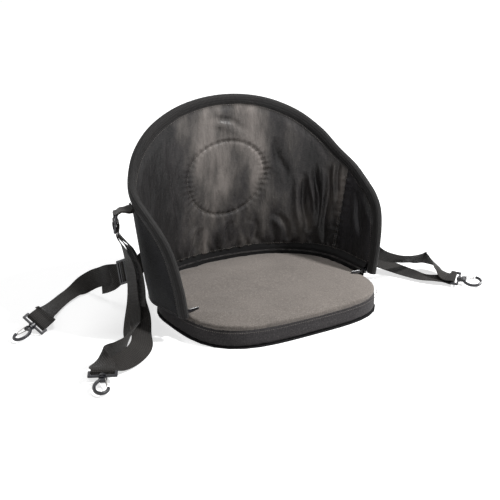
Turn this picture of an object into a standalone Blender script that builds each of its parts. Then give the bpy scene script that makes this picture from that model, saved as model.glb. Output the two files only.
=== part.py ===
"""Soft kayak seat: a foam pad, a wrap-around backrest zipped to it, and four webbing straps with hooks.

Metres, +Z up, the seat faces -Y. The origin is on the underside, in the middle of the pad.
"""

import math

import bmesh
import bpy
from mathutils import Matrix, Vector

# Driving dimensions of the pad
PAD_WIDTH = 0.400
PAD_BACK_REACH = 0.146
PAD_FRONT_REACH = 0.189
BACK_POWER = 2.2
FRONT_POWER = 3.6
PAD_HEIGHT = 0.042
PAD_CROWN = 0.007
EDGE_ROLL = 0.009
FABRIC = 0.0011

# Driving dimensions of the backrest
BACK_HEIGHT = 0.379
WING_REACH = 0.372
HEM_HEIGHT = 0.030
HEM_LIFT = 0.013
HEM_LIFT_FROM = 0.21
FLARE = 0.16
LEAN_IN = 0.08
FOAM_THICKNESS = 0.006
BACK_CLEARANCE = 0.0036
SIDE_SEAM_REACH = 0.250
LINING_FOOT = 0.060
BINDING_DEPTH = 0.014
BINDING_SLACK = 0.0011
FOAM_MARGIN = 0.0028
SKIN_MARGIN = 0.0032

# The rim's height above the floor along the wing, as shares of WING_REACH and BACK_HEIGHT
RIM_PROFILE = (
    (0.0, 1.0),
    (0.172, 0.974),
    (0.333, 0.900),
    (0.470, 0.797),
    (0.591, 0.689),
    (0.747, 0.602),
    (0.828, 0.554),
    (0.900, 0.505),
    (0.955, 0.440),
    (0.985, 0.350),
    (1.0, 0.240),
)

# Webbing, ladder locks and hooks
WEBBING_WIDTH = 0.038
WEBBING_THICKNESS = 0.0016
WEBBING_STEP = 0.014
LOCK_THICKNESS = 0.0034
LOCK_CHEEK = 0.0038
LOCK_END = 0.0036
LOCK_BAR = 0.0026
LOCK_LIP = 0.0044
LOCK_BEVEL = 0.0005
SLOT_SLACK = 0.0009
TAB_SLACK = 0.0004
TAB_LIFT = 0.0045
WRAP_RUN = 0.010
SEWN_NEAR = 0.017
SEWN_FAR = 0.026
HOOK_BAR = 0.0044
HOOK_SLOT = 0.0072
HOOK_CHEEK = 0.0040
HOOK_CROSS = 0.0032
BOSS_RADIUS = 0.0060
BOSS_LENGTH = 0.0055
POST_RADIUS = 0.0028
POST_HEAD_RADIUS = 0.0044
POST_HEAD = 0.0018
COLLAR_RADIUS = 0.0050
COLLAR_LENGTH = 0.0018
HOOK_LENGTH = 0.038
HOOK_WIDTH = 0.0235
HOOK_ROD_RADIUS = 0.0029
HOOK_STEP = 0.0050
HOOK_BEVEL = 0.0011
ROOT_LENGTH = 0.0085
ROOT_BACK = 0.0035
ROOT_FRONT = 0.0080
ROOT_REACH = 0.0015
GATE_RADIUS = 0.0009
GATE_NOSE_HALF = 0.0019

# Zip
TAPE_THICKNESS = 0.0008
TAPE_GROW = 0.0
TAPE_FOOT = 0.031
TAPE_RISE = 0.004
TAPE_UPRIGHT = 0.0055
TAPE_OVERLAP = 0.004
CHAIN_RADIUS = 0.0016
ZIP_SETBACK = 0.0160
SLIDER_LENGTH = 0.011
SLIDER_HEIGHT = 0.0086
SLIDER_THICKNESS = 0.0052
SLIDER_POST = 0.0032
EAR_REACH = 0.0046
EAR_THICKNESS = 0.0011
EAR_SPACE = 0.0040
PIN_RADIUS = 0.0006
PULL_LENGTH = 0.024
PULL_WIDTH = 0.0060
PULL_THICKNESS = 0.0014

# Layers and clearances
GAP = 0.0003
RUNNING_GAP = 0.0004
LAYER_GAP = 0.0004
FOAM_LIFT = 0.004
LEAST_RISE = 0.02
CENTRE_COLUMNS = 22
SIDE_COLUMNS = 6
FRONT_COLUMNS = 18
BACK_ROWS = 4

HALF_STACK = FOAM_THICKNESS / 2 + LAYER_GAP + FABRIC
SHELL_GROW = BACK_CLEARANCE + HALF_STACK
WIDEST_Y = (PAD_FRONT_REACH - PAD_BACK_REACH) / 2
TAPE_TOP = PAD_HEIGHT + TAPE_RISE
CHAIN_HEIGHT = TAPE_TOP + GAP + CHAIN_RADIUS
SLOT = WEBBING_THICKNESS + 2 * SLOT_SLACK
WIDE_SLOT = SLOT + WEBBING_THICKNESS
SEAT_CLEAR = GAP + WEBBING_THICKNESS / 2
WRAP_RADIUS = HOOK_BAR * 0.62 + 2 * GAP + WEBBING_THICKNESS / 2

# Routes of the straps: centre of the webbing, then the direction across its width
FRONT_LEFT_DOWN = (
    ((-0.2670, 0.0360, 0.1500), (-0.20, -0.97, 0.10)),
    ((-0.2630, 0.0240, 0.1250), (0.00, -1.00, 0.05)),
    ((-0.2645, 0.0110, 0.0820), (0.05, -1.00, 0.00)),
    ((-0.2700, 0.0010, 0.0480), (0.20, -0.97, 0.00)),
    ((-0.2820, -0.0180, 0.0280), (0.35, -0.85, 0.30)),
    ((-0.3010, -0.0500, 0.0215), (0.10, -0.50, 0.85)),
    ((-0.3200, -0.0700, 0.0205), (-0.20, -0.45, 0.86)),
    ((-0.3410, -0.0800, 0.0205), (-0.30, -0.42, 0.85)),
    ((-0.3600, -0.0860, 0.0212), (-0.15, -0.35, 0.90)),
    ((-0.3740, -0.0940, 0.0225), (0.35, -0.30, 0.88)),
    ((-0.3800, -0.1050, 0.0215), (0.75, -0.40, 0.50)),
)
FRONT_LEFT_UP = (
    ((-0.3630, -0.1160, 0.0115), (0.80, -0.57, -0.12)),
    ((-0.3360, -0.1080, 0.0115), (0.70, -0.62, -0.32)),
    ((-0.3080, -0.0920, 0.0130), (0.66, -0.64, -0.36)),
    ((-0.2870, -0.0680, 0.0145), (0.72, -0.58, -0.35)),
    ((-0.2710, -0.0300, 0.0250), (0.45, -0.75, -0.42)),
    ((-0.2570, 0.0020, 0.0510), (0.20, -0.97, -0.10)),
    ((-0.2500, 0.0160, 0.0850), (0.05, -1.00, 0.00)),
    ((-0.2485, 0.0270, 0.1220), (0.00, -1.00, 0.00)),
    ((-0.2545, 0.0360, 0.1520), (-0.15, -0.98, 0.05)),
)
FRONT_LEFT_TAIL = (
    ((-0.2610, 0.0300, 0.1500), (-0.10, -1.00, 0.05)),
    ((-0.2555, 0.0140, 0.1250), (0.00, -1.00, 0.00)),
    ((-0.2560, 0.0000, 0.0900), (0.05, -1.00, 0.00)),
    ((-0.2610, -0.0090, 0.0560), (0.10, -1.00, 0.00)),
)
FRONT_RIGHT_DOWN = (
    ((0.2640, 0.0280, 0.0900), (0.05, -0.75, 0.62)),
    ((0.2620, 0.0040, 0.0700), (0.05, -0.78, 0.60)),
    ((0.2700, -0.0160, 0.0580), (0.08, -0.80, 0.58)),
    ((0.2920, -0.0250, 0.0480), (0.10, -0.80, 0.58)),
    ((0.3320, -0.0270, 0.0380), (0.05, -0.78, 0.60)),
    ((0.3680, -0.0220, 0.0320), (-0.05, -0.70, 0.70)),
    ((0.3910, -0.0220, 0.0290), (-0.40, -0.40, 0.80)),
    ((0.3970, -0.0420, 0.0255), (-0.68, 0.10, 0.70)),
    ((0.3900, -0.0640, 0.0215), (-0.78, -0.12, 0.55)),
    ((0.3830, -0.0850, 0.0195), (-0.80, -0.42, 0.20)),
)
FRONT_RIGHT_UP = (
    ((0.3670, -0.0880, 0.0090), (0.80, 0.60, 0.02)),
    ((0.3500, -0.0620, 0.0065), (0.86, 0.50, 0.00)),
    ((0.3400, -0.0340, 0.0085), (0.92, 0.35, 0.10)),
    ((0.3250, -0.0020, 0.0135), (0.85, 0.50, 0.20)),
    ((0.2980, 0.0340, 0.0260), (0.60, 0.70, 0.40)),
    ((0.2700, 0.0560, 0.0420), (0.35, 0.75, 0.55)),
    ((0.2520, 0.0600, 0.0650), (0.10, 0.80, 0.60)),
    ((0.2500, 0.0540, 0.0900), (0.00, 0.80, -0.60)),
)
FRONT_RIGHT_TAIL = (
    ((0.2590, 0.043, 0.1000), (-0.05, 0.78, -0.62)),
    ((0.2575, 0.036, 0.0800), (-0.05, 0.78, -0.62)),
)
REAR_LEFT_ROUTE = (
    ((-0.2410, 0.1790, 0.0520), (0.05, 0.30, 0.95)),
    ((-0.2460, 0.2050, 0.0400), (0.00, 0.40, 0.90)),
    ((-0.2530, 0.2270, 0.0290), (-0.10, 0.50, 0.85)),
    ((-0.2660, 0.2410, 0.0170), (-0.18, 0.65, 0.72)),
    ((-0.2840, 0.2420, 0.0080), (-0.40, 0.88, 0.20)),
    ((-0.3120, 0.2260, 0.0040), (-0.60, 0.80, 0.00)),
    ((-0.3450, 0.1960, 0.0040), (-0.65, 0.75, 0.00)),
    ((-0.3700, 0.1630, 0.0110), (-0.68, 0.66, 0.20)),
    ((-0.3850, 0.1340, 0.0210), (-0.66, 0.56, 0.45)),
)
REAR_LEFT_TAIL = (
    ((-0.2370, 0.165, 0.0440), (0.05, 0.35, 0.95)),
    ((-0.2400, 0.184, 0.0330), (0.15, 0.25, 0.95)),
    ((-0.2440, 0.204, 0.0240), (0.20, 0.15, 0.95)),
)
REAR_RIGHT_ROUTE = (
    ((0.2340, 0.178, 0.0480), (0.00, 0.30, 0.95)),
    ((0.2160, 0.204, 0.0340), (0.05, 0.45, 0.90)),
    ((0.1880, 0.224, 0.0190), (-0.10, 0.80, 0.60)),
    ((0.1500, 0.238, 0.0075), (-0.20, 0.97, 0.10)),
    ((0.1100, 0.245, 0.0050), (-0.10, 1.00, 0.00)),
)
REAR_RIGHT_TAIL = (
    ((0.2350, 0.164, 0.0410), (0.05, 0.35, 0.95)),
    ((0.2280, 0.184, 0.0310), (0.10, 0.35, 0.95)),
    ((0.2140, 0.204, 0.0235), (0.10, 0.45, 0.90)),
)

# Ladder locks: centre, direction from tab to strap, direction towards the side the straps leave by
LOCKS = {
    "front_left": ((-0.277, 0.046, 0.197), (-0.12, -0.02, -0.99), (0.93, -0.36, 0.00)),
    "front_right": ((0.264, 0.064, 0.128), (0.10, -0.62, -0.78), (-0.99, -0.10, -0.05)),
    "rear_left": ((-0.226, 0.137, 0.068), (-0.30, 0.85, -0.42), (0.95, 0.25, -0.18)),
    "rear_right": ((0.224, 0.137, 0.064), (0.25, 0.85, -0.45), (-0.95, 0.25, -0.18)),
}
# Where each tab is sewn, from and to: distance along the hem from the middle of the back, and height
TAB_SEWN = {
    "front_left": ((-0.243, 0.219), (-0.243, 0.213)),
    "front_right": ((0.215, 0.186), (0.222, 0.168)),
    "rear_left": ((-0.120, 0.096), (-0.148, 0.090)),
    "rear_right": ((0.120, 0.096), (0.148, 0.090)),
}
# How far each tab runs on past its stitching, how far it lifts off the cover there, and whether the
# layer that lies on the cover is the one over the lock's nearer face
TAB_LEAVE = {
    "front_left": (0.0005, 0.0060, True),
    "front_right": (0.0070, 0.0042, True),
    "rear_left": (0.0070, 0.0042, False),
    "rear_right": (0.0090, 0.0042, True),
}
# Hooks: middle of the webbing bar, direction to the tip, direction across, side the gate is on
HOOKS = {
    "front_left": ((-0.3855, -0.134, 0.015), (-0.445, -0.88, -0.16), (0.89, -0.445, 0), (0.89, -0.445, 0)),
    "front_right": ((0.388, -0.112, 0.0125), (0.60, -0.80, -0.05), (0.79, 0.57, 0.22), (0.71, 0.51, 0.485)),
    "rear_left": ((-0.411, 0.101, 0.0197), (-0.85, -0.47, -0.225), (0.628, -0.486, -0.53), (-0.49, 0.87, 0)),
    "rear_right": ((0.040, 0.247, 0.0110), (-0.99, 0.10, -0.075), (0.10, 0.99, 0), (0.10, 0.99, 0)),
}
# The hook's own line from its collar: sideways and along, as shares of HOOK_WIDTH and HOOK_LENGTH
HOOK_LINE = (
    (0.00, 0.00),
    (-0.16, 0.12),
    (-0.36, 0.28),
    (-0.47, 0.48),
    (-0.44, 0.72),
    (-0.26, 0.92),
    (0.02, 1.00),
    (0.30, 0.93),
    (0.46, 0.76),
    (0.47, 0.66),
)
GATE_PIVOT = (0.24, 0.15)
GATE_TIP = (0.40, 0.60)

LEFT, RIGHT = -1, 1


def clear_scene():
    for old in list(bpy.data.objects):
        bpy.data.objects.remove(old, do_unlink=True)


def make_collection(name, hidden=False):
    group = bpy.data.collections.new(name)
    bpy.context.scene.collection.children.link(group)
    group.hide_render = hidden
    return group


def make_material(name, colour, roughness, metallic=0.0):
    material = bpy.data.materials.new(name)
    material.use_nodes = True
    shader = material.node_tree.nodes["Principled BSDF"]
    shader.inputs["Base Color"].default_value = (*colour, 1.0)
    shader.inputs["Roughness"].default_value = roughness
    shader.inputs["Metallic"].default_value = metallic
    return material


clear_scene()
PARTS = make_collection("kayak_seat")
CUTTERS = make_collection("cutters", hidden=True)


def add_object(name, mesh, material, cutter=False):
    piece = bpy.data.objects.new(name, mesh)
    (CUTTERS if cutter else PARTS).objects.link(piece)
    if cutter:
        piece.hide_render = True
        piece.display_type = "WIRE"
    else:
        mesh.materials.append(material)
        mesh.shade_smooth()
        mesh.set_sharp_from_angle(angle=math.radians(35))
    return piece


def sheet_mesh(name, rows, closed=False):
    """An open sheet through rows of points, each row as long as the first."""
    build = bmesh.new()
    grid = [[build.verts.new(point) for point in row] for row in rows]
    across = len(grid[0])
    for low, high in zip(grid, grid[1:]):
        for column in range(across if closed else across - 1):
            after = (column + 1) % across
            build.faces.new((low[column], low[after], high[after], high[column]))
    mesh = bpy.data.meshes.new(name)
    build.to_mesh(mesh)
    build.free()
    return mesh


def thicken(piece, thickness, offset=0.0):
    solidify = piece.modifiers.new("thickness", "SOLIDIFY")
    solidify.thickness = thickness
    solidify.offset = offset
    solidify.use_even_offset = True
    return piece


def loft_mesh(name, rings):
    """A closed solid through rings of points, with a flat cap on each end."""
    build = bmesh.new()
    grid = [[build.verts.new(point) for point in ring] for ring in rings]
    around = len(grid[0])
    for low, high in zip(grid, grid[1:]):
        for column in range(around):
            after = (column + 1) % around
            build.faces.new((low[column], low[after], high[after], high[column]))
    build.faces.new(grid[0][::-1])
    build.faces.new(grid[-1])
    bmesh.ops.recalc_face_normals(build, faces=build.faces)
    mesh = bpy.data.meshes.new(name)
    build.to_mesh(mesh)
    build.free()
    return mesh


def spread(value, power):
    return math.copysign(abs(value) ** (2 / power), value)


def outline_point(angle, grow=0.0, flare=0.0, lean=0.0):
    """The pad's D outline, with angle 0 at the middle of the back, grown outwards by grow."""
    at_back = math.cos(angle) >= 0
    power = BACK_POWER if at_back else FRONT_POWER
    reach = (PAD_BACK_REACH - lean) if at_back else PAD_FRONT_REACH
    x = (PAD_WIDTH / 2 + grow + flare) * spread(math.sin(angle), power)
    y = WIDEST_Y + (reach + grow) * spread(math.cos(angle), power)
    return Vector((x, y))


def outline_angles():
    """A fine table of angle against the distance along the outline from the middle of the back."""
    steps = 4000
    table = [(0.0, 0.0)]
    last = outline_point(0.0)
    for step in range(1, steps + 1):
        angle = math.pi * step / steps
        point = outline_point(angle)
        table.append((table[-1][0] + (point - last).length, angle))
        last = point
    return table


OUTLINE_TABLE = outline_angles()
HALF_OUTLINE = OUTLINE_TABLE[-1][0]


def angle_at(distance):
    """The outline angle at a signed distance from the middle of the back."""
    target = min(abs(distance), HALF_OUTLINE)
    low, high = 0, len(OUTLINE_TABLE) - 1
    while high - low > 1:
        middle = (low + high) // 2
        if OUTLINE_TABLE[middle][0] <= target:
            low = middle
        else:
            high = middle
    start, end = OUTLINE_TABLE[low], OUTLINE_TABLE[high]
    share = (target - start[0]) / max(end[0] - start[0], 1e-9)
    return math.copysign(start[1] + share * (end[1] - start[1]), distance)


def ring_places():
    """Distances all round the outline: the backrest's own columns, then even steps over the front."""
    left, centre, right = column_places(WING_REACH - SKIN_MARGIN)
    edge = right[-1]
    across = 2 * (HALF_OUTLINE - edge)
    front = [edge + across * step / FRONT_COLUMNS for step in range(1, FRONT_COLUMNS)]
    wrapped = [place if place <= HALF_OUTLINE else place - 2 * HALF_OUTLINE for place in front]
    return left + centre + right + wrapped


def ring_at(grow, height):
    """A closed ring of points round the pad."""
    return [Vector((*outline_point(angle_at(place), grow), height)) for place in ring_places()]


def column_places(edge):
    """Distances along the hem where every layer of the backrest has a column, seams among them."""
    seam = SIDE_SEAM_REACH
    centre = [seam * (2 * step / CENTRE_COLUMNS - 1) for step in range(CENTRE_COLUMNS + 1)]
    side = [seam + (edge - seam) * step / SIDE_COLUMNS for step in range(1, SIDE_COLUMNS + 1)]
    return [-place for place in side[::-1]], centre, side


def smooth_value(table, place):
    """A smooth curve through the table's points, read at one place."""
    last = len(table) - 1
    index = 0
    while index < last - 1 and place > table[index + 1][0]:
        index += 1
    (x1, y1), (x2, y2) = table[index], table[index + 1]
    before = table[index - 1] if index else (2 * x1 - x2, y2)
    after = table[index + 2] if index + 2 <= last else (2 * x2 - x1, 2 * y2 - y1)
    slope1 = (y2 - before[1]) / (x2 - before[0])
    slope2 = (after[1] - y1) / (after[0] - x1)
    width = x2 - x1
    t = min(max((place - x1) / width, 0.0), 1.0)
    return (
        y1 * (2 * t**3 - 3 * t**2 + 1)
        + slope1 * width * (t**3 - 2 * t**2 + t)
        + y2 * (3 * t**2 - 2 * t**3)
        + slope2 * width * (t**3 - t**2)
    )


def hem_lift(distance):
    """How far the wing's lower edge rises above the hem towards its front."""
    share = min(max((abs(distance) - HEM_LIFT_FROM) / (WING_REACH - HEM_LIFT_FROM), 0.0), 1.0)
    return HEM_LIFT * share * share * (3 - 2 * share)


def rim_height(distance):
    return BACK_HEIGHT * smooth_value(RIM_PROFILE, min(abs(distance) / WING_REACH, 1.0))


def shell_point(distance, height, out=0.0):
    """A point on the backrest's middle surface, moved outwards along its normal by out."""
    step = 0.0005

    def middle(place, level):
        rise = level - HEM_HEIGHT
        x, y = outline_point(angle_at(place), SHELL_GROW, FLARE * rise, LEAN_IN * rise)
        return Vector((x, y, level))

    along = middle(distance + step, height) - middle(distance - step, height)
    up = middle(distance, height + step) - middle(distance, height - step)
    normal = up.cross(along).normalized()
    return middle(distance, height) + normal * out


def trimmed_height(distance, margin):
    """The rim's height less a margin measured square to the rim."""
    step = 0.001
    reach = min(abs(distance), WING_REACH - step)
    slope = (rim_height(reach + step) - rim_height(reach - step)) / (2 * step)
    return rim_height(reach) - margin * math.sqrt(1 + slope * slope)


def shell_sheet(name, out, places, foot, margin, material, thickness, rising=True):
    """A layer of the backrest over the given distances along the hem."""
    rows = []
    for row in range(BACK_ROWS + 1):
        share = row / BACK_ROWS
        line = []
        for place in places:
            low = foot + (hem_lift(place) if rising else 0.0)
            top = max(trimmed_height(place, margin), low + LEAST_RISE)
            line.append(shell_point(place, low + share * (top - low), out))
        rows.append(line)
    piece = add_object(name, sheet_mesh(name, rows), material)
    return thicken(piece, thickness)


def make_pad(cloth, foam, base):
    flat = -FABRIC - GAP
    band_foot = FABRIC + GAP
    band_top = PAD_HEIGHT - FABRIC / 2 - EDGE_ROLL - GAP
    foam_grow = flat - GAP

    build = bmesh.new()
    build.faces.new([build.verts.new(point) for point in ring_at(-GAP, 0.0)])
    mesh = bpy.data.meshes.new("seat_underside_panel")
    build.to_mesh(mesh)
    build.free()
    panel = add_object("seat_underside_panel", mesh, base)
    thicken(panel, FABRIC, 1.0 if mesh.polygons[0].normal.z > 0 else -1.0)

    roll = EDGE_ROLL
    crown_rings = ((0.0, -roll), (0.0, -roll * 0.55), (-roll * 0.3, -roll * 0.16), (-roll, 0.0))
    dome = ((0.030, 0.45), (0.070, 0.85), (0.120, 1.0))

    def pad_rings(grow, lift):
        rings = [ring_at(grow + inset, PAD_HEIGHT + lift + drop) for inset, drop in crown_rings]
        for inset, share in dome:
            rings.append(ring_at(grow - roll - inset, PAD_HEIGHT + lift + PAD_CROWN * share))
        return rings

    foam_top = -FABRIC - GAP
    foam_rings = [ring_at(foam_grow, band_foot)] + pad_rings(foam_grow, foam_top)
    add_object("seat_foam", loft_mesh("seat_foam", foam_rings), foam)

    cover_rings = pad_rings(foam_grow + GAP + FABRIC / 2, foam_top + GAP + FABRIC / 2)
    cover_mesh = sheet_mesh("seat_top_cover", cover_rings, closed=True)
    build = bmesh.new()
    build.from_mesh(cover_mesh)
    top_edges = [edge for edge in build.edges if edge.is_boundary and edge.verts[0].co.z > PAD_HEIGHT]
    bmesh.ops.holes_fill(build, edges=top_edges)
    bmesh.ops.recalc_face_normals(build, faces=build.faces)
    build.to_mesh(cover_mesh)
    build.free()
    thicken(add_object("seat_top_cover", cover_mesh, cloth), FABRIC)

    band_rows = [ring_at(-GAP - FABRIC / 2, band_foot), ring_at(-GAP - FABRIC / 2, band_top)]
    band_mesh = sheet_mesh("seat_side_band", band_rows, closed=True)
    thicken(add_object("seat_side_band", band_mesh, cloth), FABRIC)


def make_back(cloth, lining, foam, binding):
    skin = FOAM_THICKNESS / 2 + LAYER_GAP + FABRIC / 2
    left, centre, right = column_places(WING_REACH - SKIN_MARGIN)
    whole = left + centre + right
    shell_sheet("back_foam_board", 0.0, whole, HEM_HEIGHT + FOAM_LIFT, FOAM_MARGIN, foam, FOAM_THICKNESS)
    shell_sheet("back_outer_cover", skin, whole, HEM_HEIGHT, SKIN_MARGIN, cloth, FABRIC)
    panels = {
        "back_lining_left": left + [-SIDE_SEAM_REACH - GAP],
        "back_lining_centre": centre,
        "back_lining_right": [SIDE_SEAM_REACH + GAP] + right,
    }
    for name, places in panels.items():
        shell_sheet(name, -skin, places, LINING_FOOT, SKIN_MARGIN, lining, FABRIC, rising=False)
    make_binding(binding)


def rim_path():
    """Points along the whole rim: up the left wing's front edge, over the top and down the right."""
    foot = HEM_HEIGHT + HEM_LIFT + 0.001
    corner = rim_height(WING_REACH)
    right = [(WING_REACH, foot), (WING_REACH, (foot + corner) / 2)]
    dense = [WING_REACH * math.sin(math.pi / 2 * step / 400) for step in range(400, -1, -1)]
    points = right + [(distance, rim_height(distance)) for distance in dense]
    return [shell_point(distance, height) for distance, height in points]


def even_points(points, count):
    lengths = [0.0]
    for first, second in zip(points, points[1:]):
        lengths.append(lengths[-1] + (second - first).length)
    chosen = []
    index = 0
    for step in range(count):
        target = lengths[-1] * step / (count - 1)
        while index < len(points) - 2 and lengths[index + 1] < target:
            index += 1
        span = max(lengths[index + 1] - lengths[index], 1e-9)
        share = (target - lengths[index]) / span
        chosen.append(points[index].lerp(points[index + 1], min(max(share, 0.0), 1.0)))
    return chosen


def shell_normal_near(point):
    """The backrest's outward normal at the place of the surface level with a point on it."""
    best = min(
        (WING_REACH * step / 60 for step in range(61)),
        key=lambda place: (shell_point(place, point.z) - Vector((abs(point.x), point.y, point.z))).length,
    )
    normal = shell_point(best, point.z, 0.01) - shell_point(best, point.z)
    normal.x = math.copysign(normal.x, point.x) if abs(point.x) > 1e-6 else 0.0
    return normal.normalized()


def make_binding(material):
    """A fabric channel folded over the rim."""
    half = even_points(rim_path(), 27)
    path = half + [Vector((-p.x, p.y, p.z)) for p in half[-2::-1]]
    inner = HALF_STACK + BINDING_SLACK
    outer = inner + FABRIC
    nose = 0.0016
    section = [(outer, BINDING_DEPTH), (outer, 0.002), (outer * 0.72, -nose * 0.6), (0.0, -nose)]
    section += [(-n, t) for n, t in section[2::-1]]
    section += [(-inner, BINDING_DEPTH), (-inner, 0.002), (0.0, FABRIC - nose)]
    section += [(inner, 0.002), (inner, BINDING_DEPTH)]
    rings = []
    for index, point in enumerate(path):
        before = path[max(index - 1, 0)]
        after = path[min(index + 1, len(path) - 1)]
        along = (after - before).normalized()
        normal = shell_normal_near(point)
        inward = along.cross(normal).normalized()
        normal = inward.cross(along).normalized()
        rings.append([point + normal * n + inward * t for n, t in section])
    mesh = loft_mesh("back_rim_binding", rings)
    return add_object("back_rim_binding", mesh, material)


def union(target, *others):
    for other in others:
        join = target.modifiers.new("join_" + other.name, "BOOLEAN")
        join.operation = "UNION"
        join.object = other
    return target


def cut(target, *others):
    for other in others:
        take = target.modifiers.new("cut_" + other.name, "BOOLEAN")
        take.operation = "DIFFERENCE"
        take.object = other
    return target


def placed(along, across, centre):
    """A frame with X along, Y across and Z square to both, at a centre."""
    x = Vector(along).normalized()
    y = (Vector(across) - x * x.dot(Vector(across))).normalized()
    z = x.cross(y)
    turn = Matrix((x, y, z)).transposed().to_4x4()
    return Matrix.Translation(Vector(centre)) @ turn


def block(name, frame, low, high, material=None, bevel=0.0):
    """A box between two corners of a frame; without a material it is a helper."""
    build = bmesh.new()
    bmesh.ops.create_cube(build, size=1.0)
    low, high = Vector(low), Vector(high)
    size = high - low
    for vert in build.verts:
        vert.co = low + Vector((size[i] * (vert.co[i] + 0.5) for i in range(3)))
    if bevel:
        bmesh.ops.bevel(build, geom=list(build.edges), offset=bevel, segments=1, affect="EDGES")
    mesh = bpy.data.meshes.new(name)
    build.to_mesh(mesh)
    build.free()
    piece = add_object(name, mesh, material, cutter=material is None)
    piece.matrix_world = frame
    return piece


def rod(name, frame, start, end, radius, material=None, sides=20):
    """A round bar between two points of a frame; without a material it is a helper."""
    start, end = Vector(start), Vector(end)
    axis = end - start
    build = bmesh.new()
    bmesh.ops.create_cone(
        build, cap_ends=True, segments=sides, radius1=radius, radius2=radius, depth=axis.length
    )
    mesh = bpy.data.meshes.new(name)
    build.to_mesh(mesh)
    build.free()
    piece = add_object(name, mesh, material, cutter=material is None)
    turn = axis.to_track_quat("Z", "Y").to_matrix().to_4x4()
    piece.matrix_world = frame @ Matrix.Translation((start + end) / 2) @ turn
    return piece


def wire(name, points, radius, material, frame=None, closed=False):
    """A round wire through points of a frame, as a mesh with welded caps."""
    data = bpy.data.curves.new(name, "CURVE")
    data.dimensions = "3D"
    data.bevel_depth = radius
    data.bevel_resolution = 2
    data.use_fill_caps = not closed
    line = data.splines.new("POLY")
    line.points.add(len(points) - 1)
    for slot, point in zip(line.points, points):
        slot.co = (*point, 1.0)
    line.use_cyclic_u = closed
    guide = bpy.data.objects.new(name + "_guide", data)
    CUTTERS.objects.link(guide)
    graph = bpy.context.evaluated_depsgraph_get()
    mesh = bpy.data.meshes.new_from_object(guide.evaluated_get(graph))
    bpy.data.objects.remove(guide, do_unlink=True)
    mesh.name = name
    build = bmesh.new()
    build.from_mesh(mesh)
    bmesh.ops.remove_doubles(build, verts=build.verts, dist=0.00001)
    build.to_mesh(mesh)
    build.free()
    mesh.materials.clear()
    piece = add_object(name, mesh, material)
    if frame:
        piece.matrix_world = frame
    return piece


def hermite(stations, step):
    """Even samples of a smooth curve through stations of any number of vectors, spaced by the first."""
    spans = [max((b[0] - a[0]).length, 1e-6) for a, b in zip(stations, stations[1:])]

    def slope(index, part):
        if index == 0:
            return (stations[1][part] - stations[0][part]) / spans[0]
        if index == len(stations) - 1:
            return (stations[-1][part] - stations[-2][part]) / spans[-1]
        before = (stations[index][part] - stations[index - 1][part]) / spans[index - 1]
        after = (stations[index + 1][part] - stations[index][part]) / spans[index]
        return (before * spans[index] + after * spans[index - 1]) / (spans[index] + spans[index - 1])

    samples = [stations[0]]
    for index, span in enumerate(spans):
        count = max(1, math.ceil(span / step))
        for number in range(1, count + 1):
            t = number / count
            weights = (2 * t**3 - 3 * t**2 + 1, t**3 - 2 * t**2 + t, 3 * t**2 - 2 * t**3, t**3 - t**2)
            row = []
            for part in range(len(stations[0])):
                row.append(
                    stations[index][part] * weights[0]
                    + slope(index, part) * span * weights[1]
                    + stations[index + 1][part] * weights[2]
                    + slope(index + 1, part) * span * weights[3]
                )
            samples.append(tuple(row))
    return samples


def webbing(name, stations, material, skewed=False):
    """A flat strap through stations of centre and direction across. A skewed one keeps those directions."""
    clean = []
    for centre, across in stations:
        centre, across = Vector(centre), Vector(across).normalized()
        if clean and across.dot(clean[-1][1]) < 0:
            across = -across
        clean.append((centre, across))
    samples = hermite(clean, WEBBING_STEP)
    rows = []
    for index, (centre, across) in enumerate(samples):
        before = samples[max(index - 1, 0)][0]
        after = samples[min(index + 1, len(samples) - 1)][0]
        along = (after - before).normalized()
        if not skewed:
            across -= along * along.dot(across)
        across = across.normalized() * (WEBBING_WIDTH / 2)
        rows.append((centre - across, centre + across))
    strap = thicken(add_object(name, sheet_mesh(name, rows), material), WEBBING_THICKNESS)
    strap.modifiers["thickness"].use_even_offset = False
    return strap


def make_zip(tape, teeth, metal):
    """The zip round the pad, with a slider closed up to each wing's foot."""
    slider_at = WING_REACH - ZIP_SETBACK
    chain_grow = TAPE_GROW + TAPE_THICKNESS / 2
    inner = [place for place in ring_places() if abs(place) < slider_at - GAP]
    places = [-slider_at] + sorted(inner) + [slider_at]

    def row(height):
        return [Vector((*outline_point(angle_at(place), chain_grow), height)) for place in places]

    seat_rows = [row(TAPE_FOOT), row(TAPE_TOP)]
    thicken(add_object("seat_zip_tape", sheet_mesh("seat_zip_tape", seat_rows), tape), TAPE_THICKNESS)

    behind_lining = HALF_STACK + LAYER_GAP + TAPE_THICKNESS / 2
    upper_foot = CHAIN_HEIGHT + CHAIN_RADIUS + GAP
    back_rows = [row(upper_foot), row(upper_foot + TAPE_UPRIGHT)]
    top = LINING_FOOT + TAPE_OVERLAP
    back_rows.append([shell_point(place, top, -behind_lining) for place in places])
    thicken(add_object("back_zip_tape", sheet_mesh("back_zip_tape", back_rows), tape), TAPE_THICKNESS)
    wire("zip_chain", row(CHAIN_HEIGHT), CHAIN_RADIUS, teeth)

    for side, word in ((LEFT, "left"), (RIGHT, "right")):
        middle = Vector((*outline_point(angle_at(side * slider_at), chain_grow), CHAIN_HEIGHT))
        behind = Vector((*outline_point(angle_at(side * (slider_at - 0.004)), chain_grow), CHAIN_HEIGHT))
        along = middle - behind
        make_slider(word, placed(along, Vector((-side, 0, 0)), middle), metal)


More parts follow.
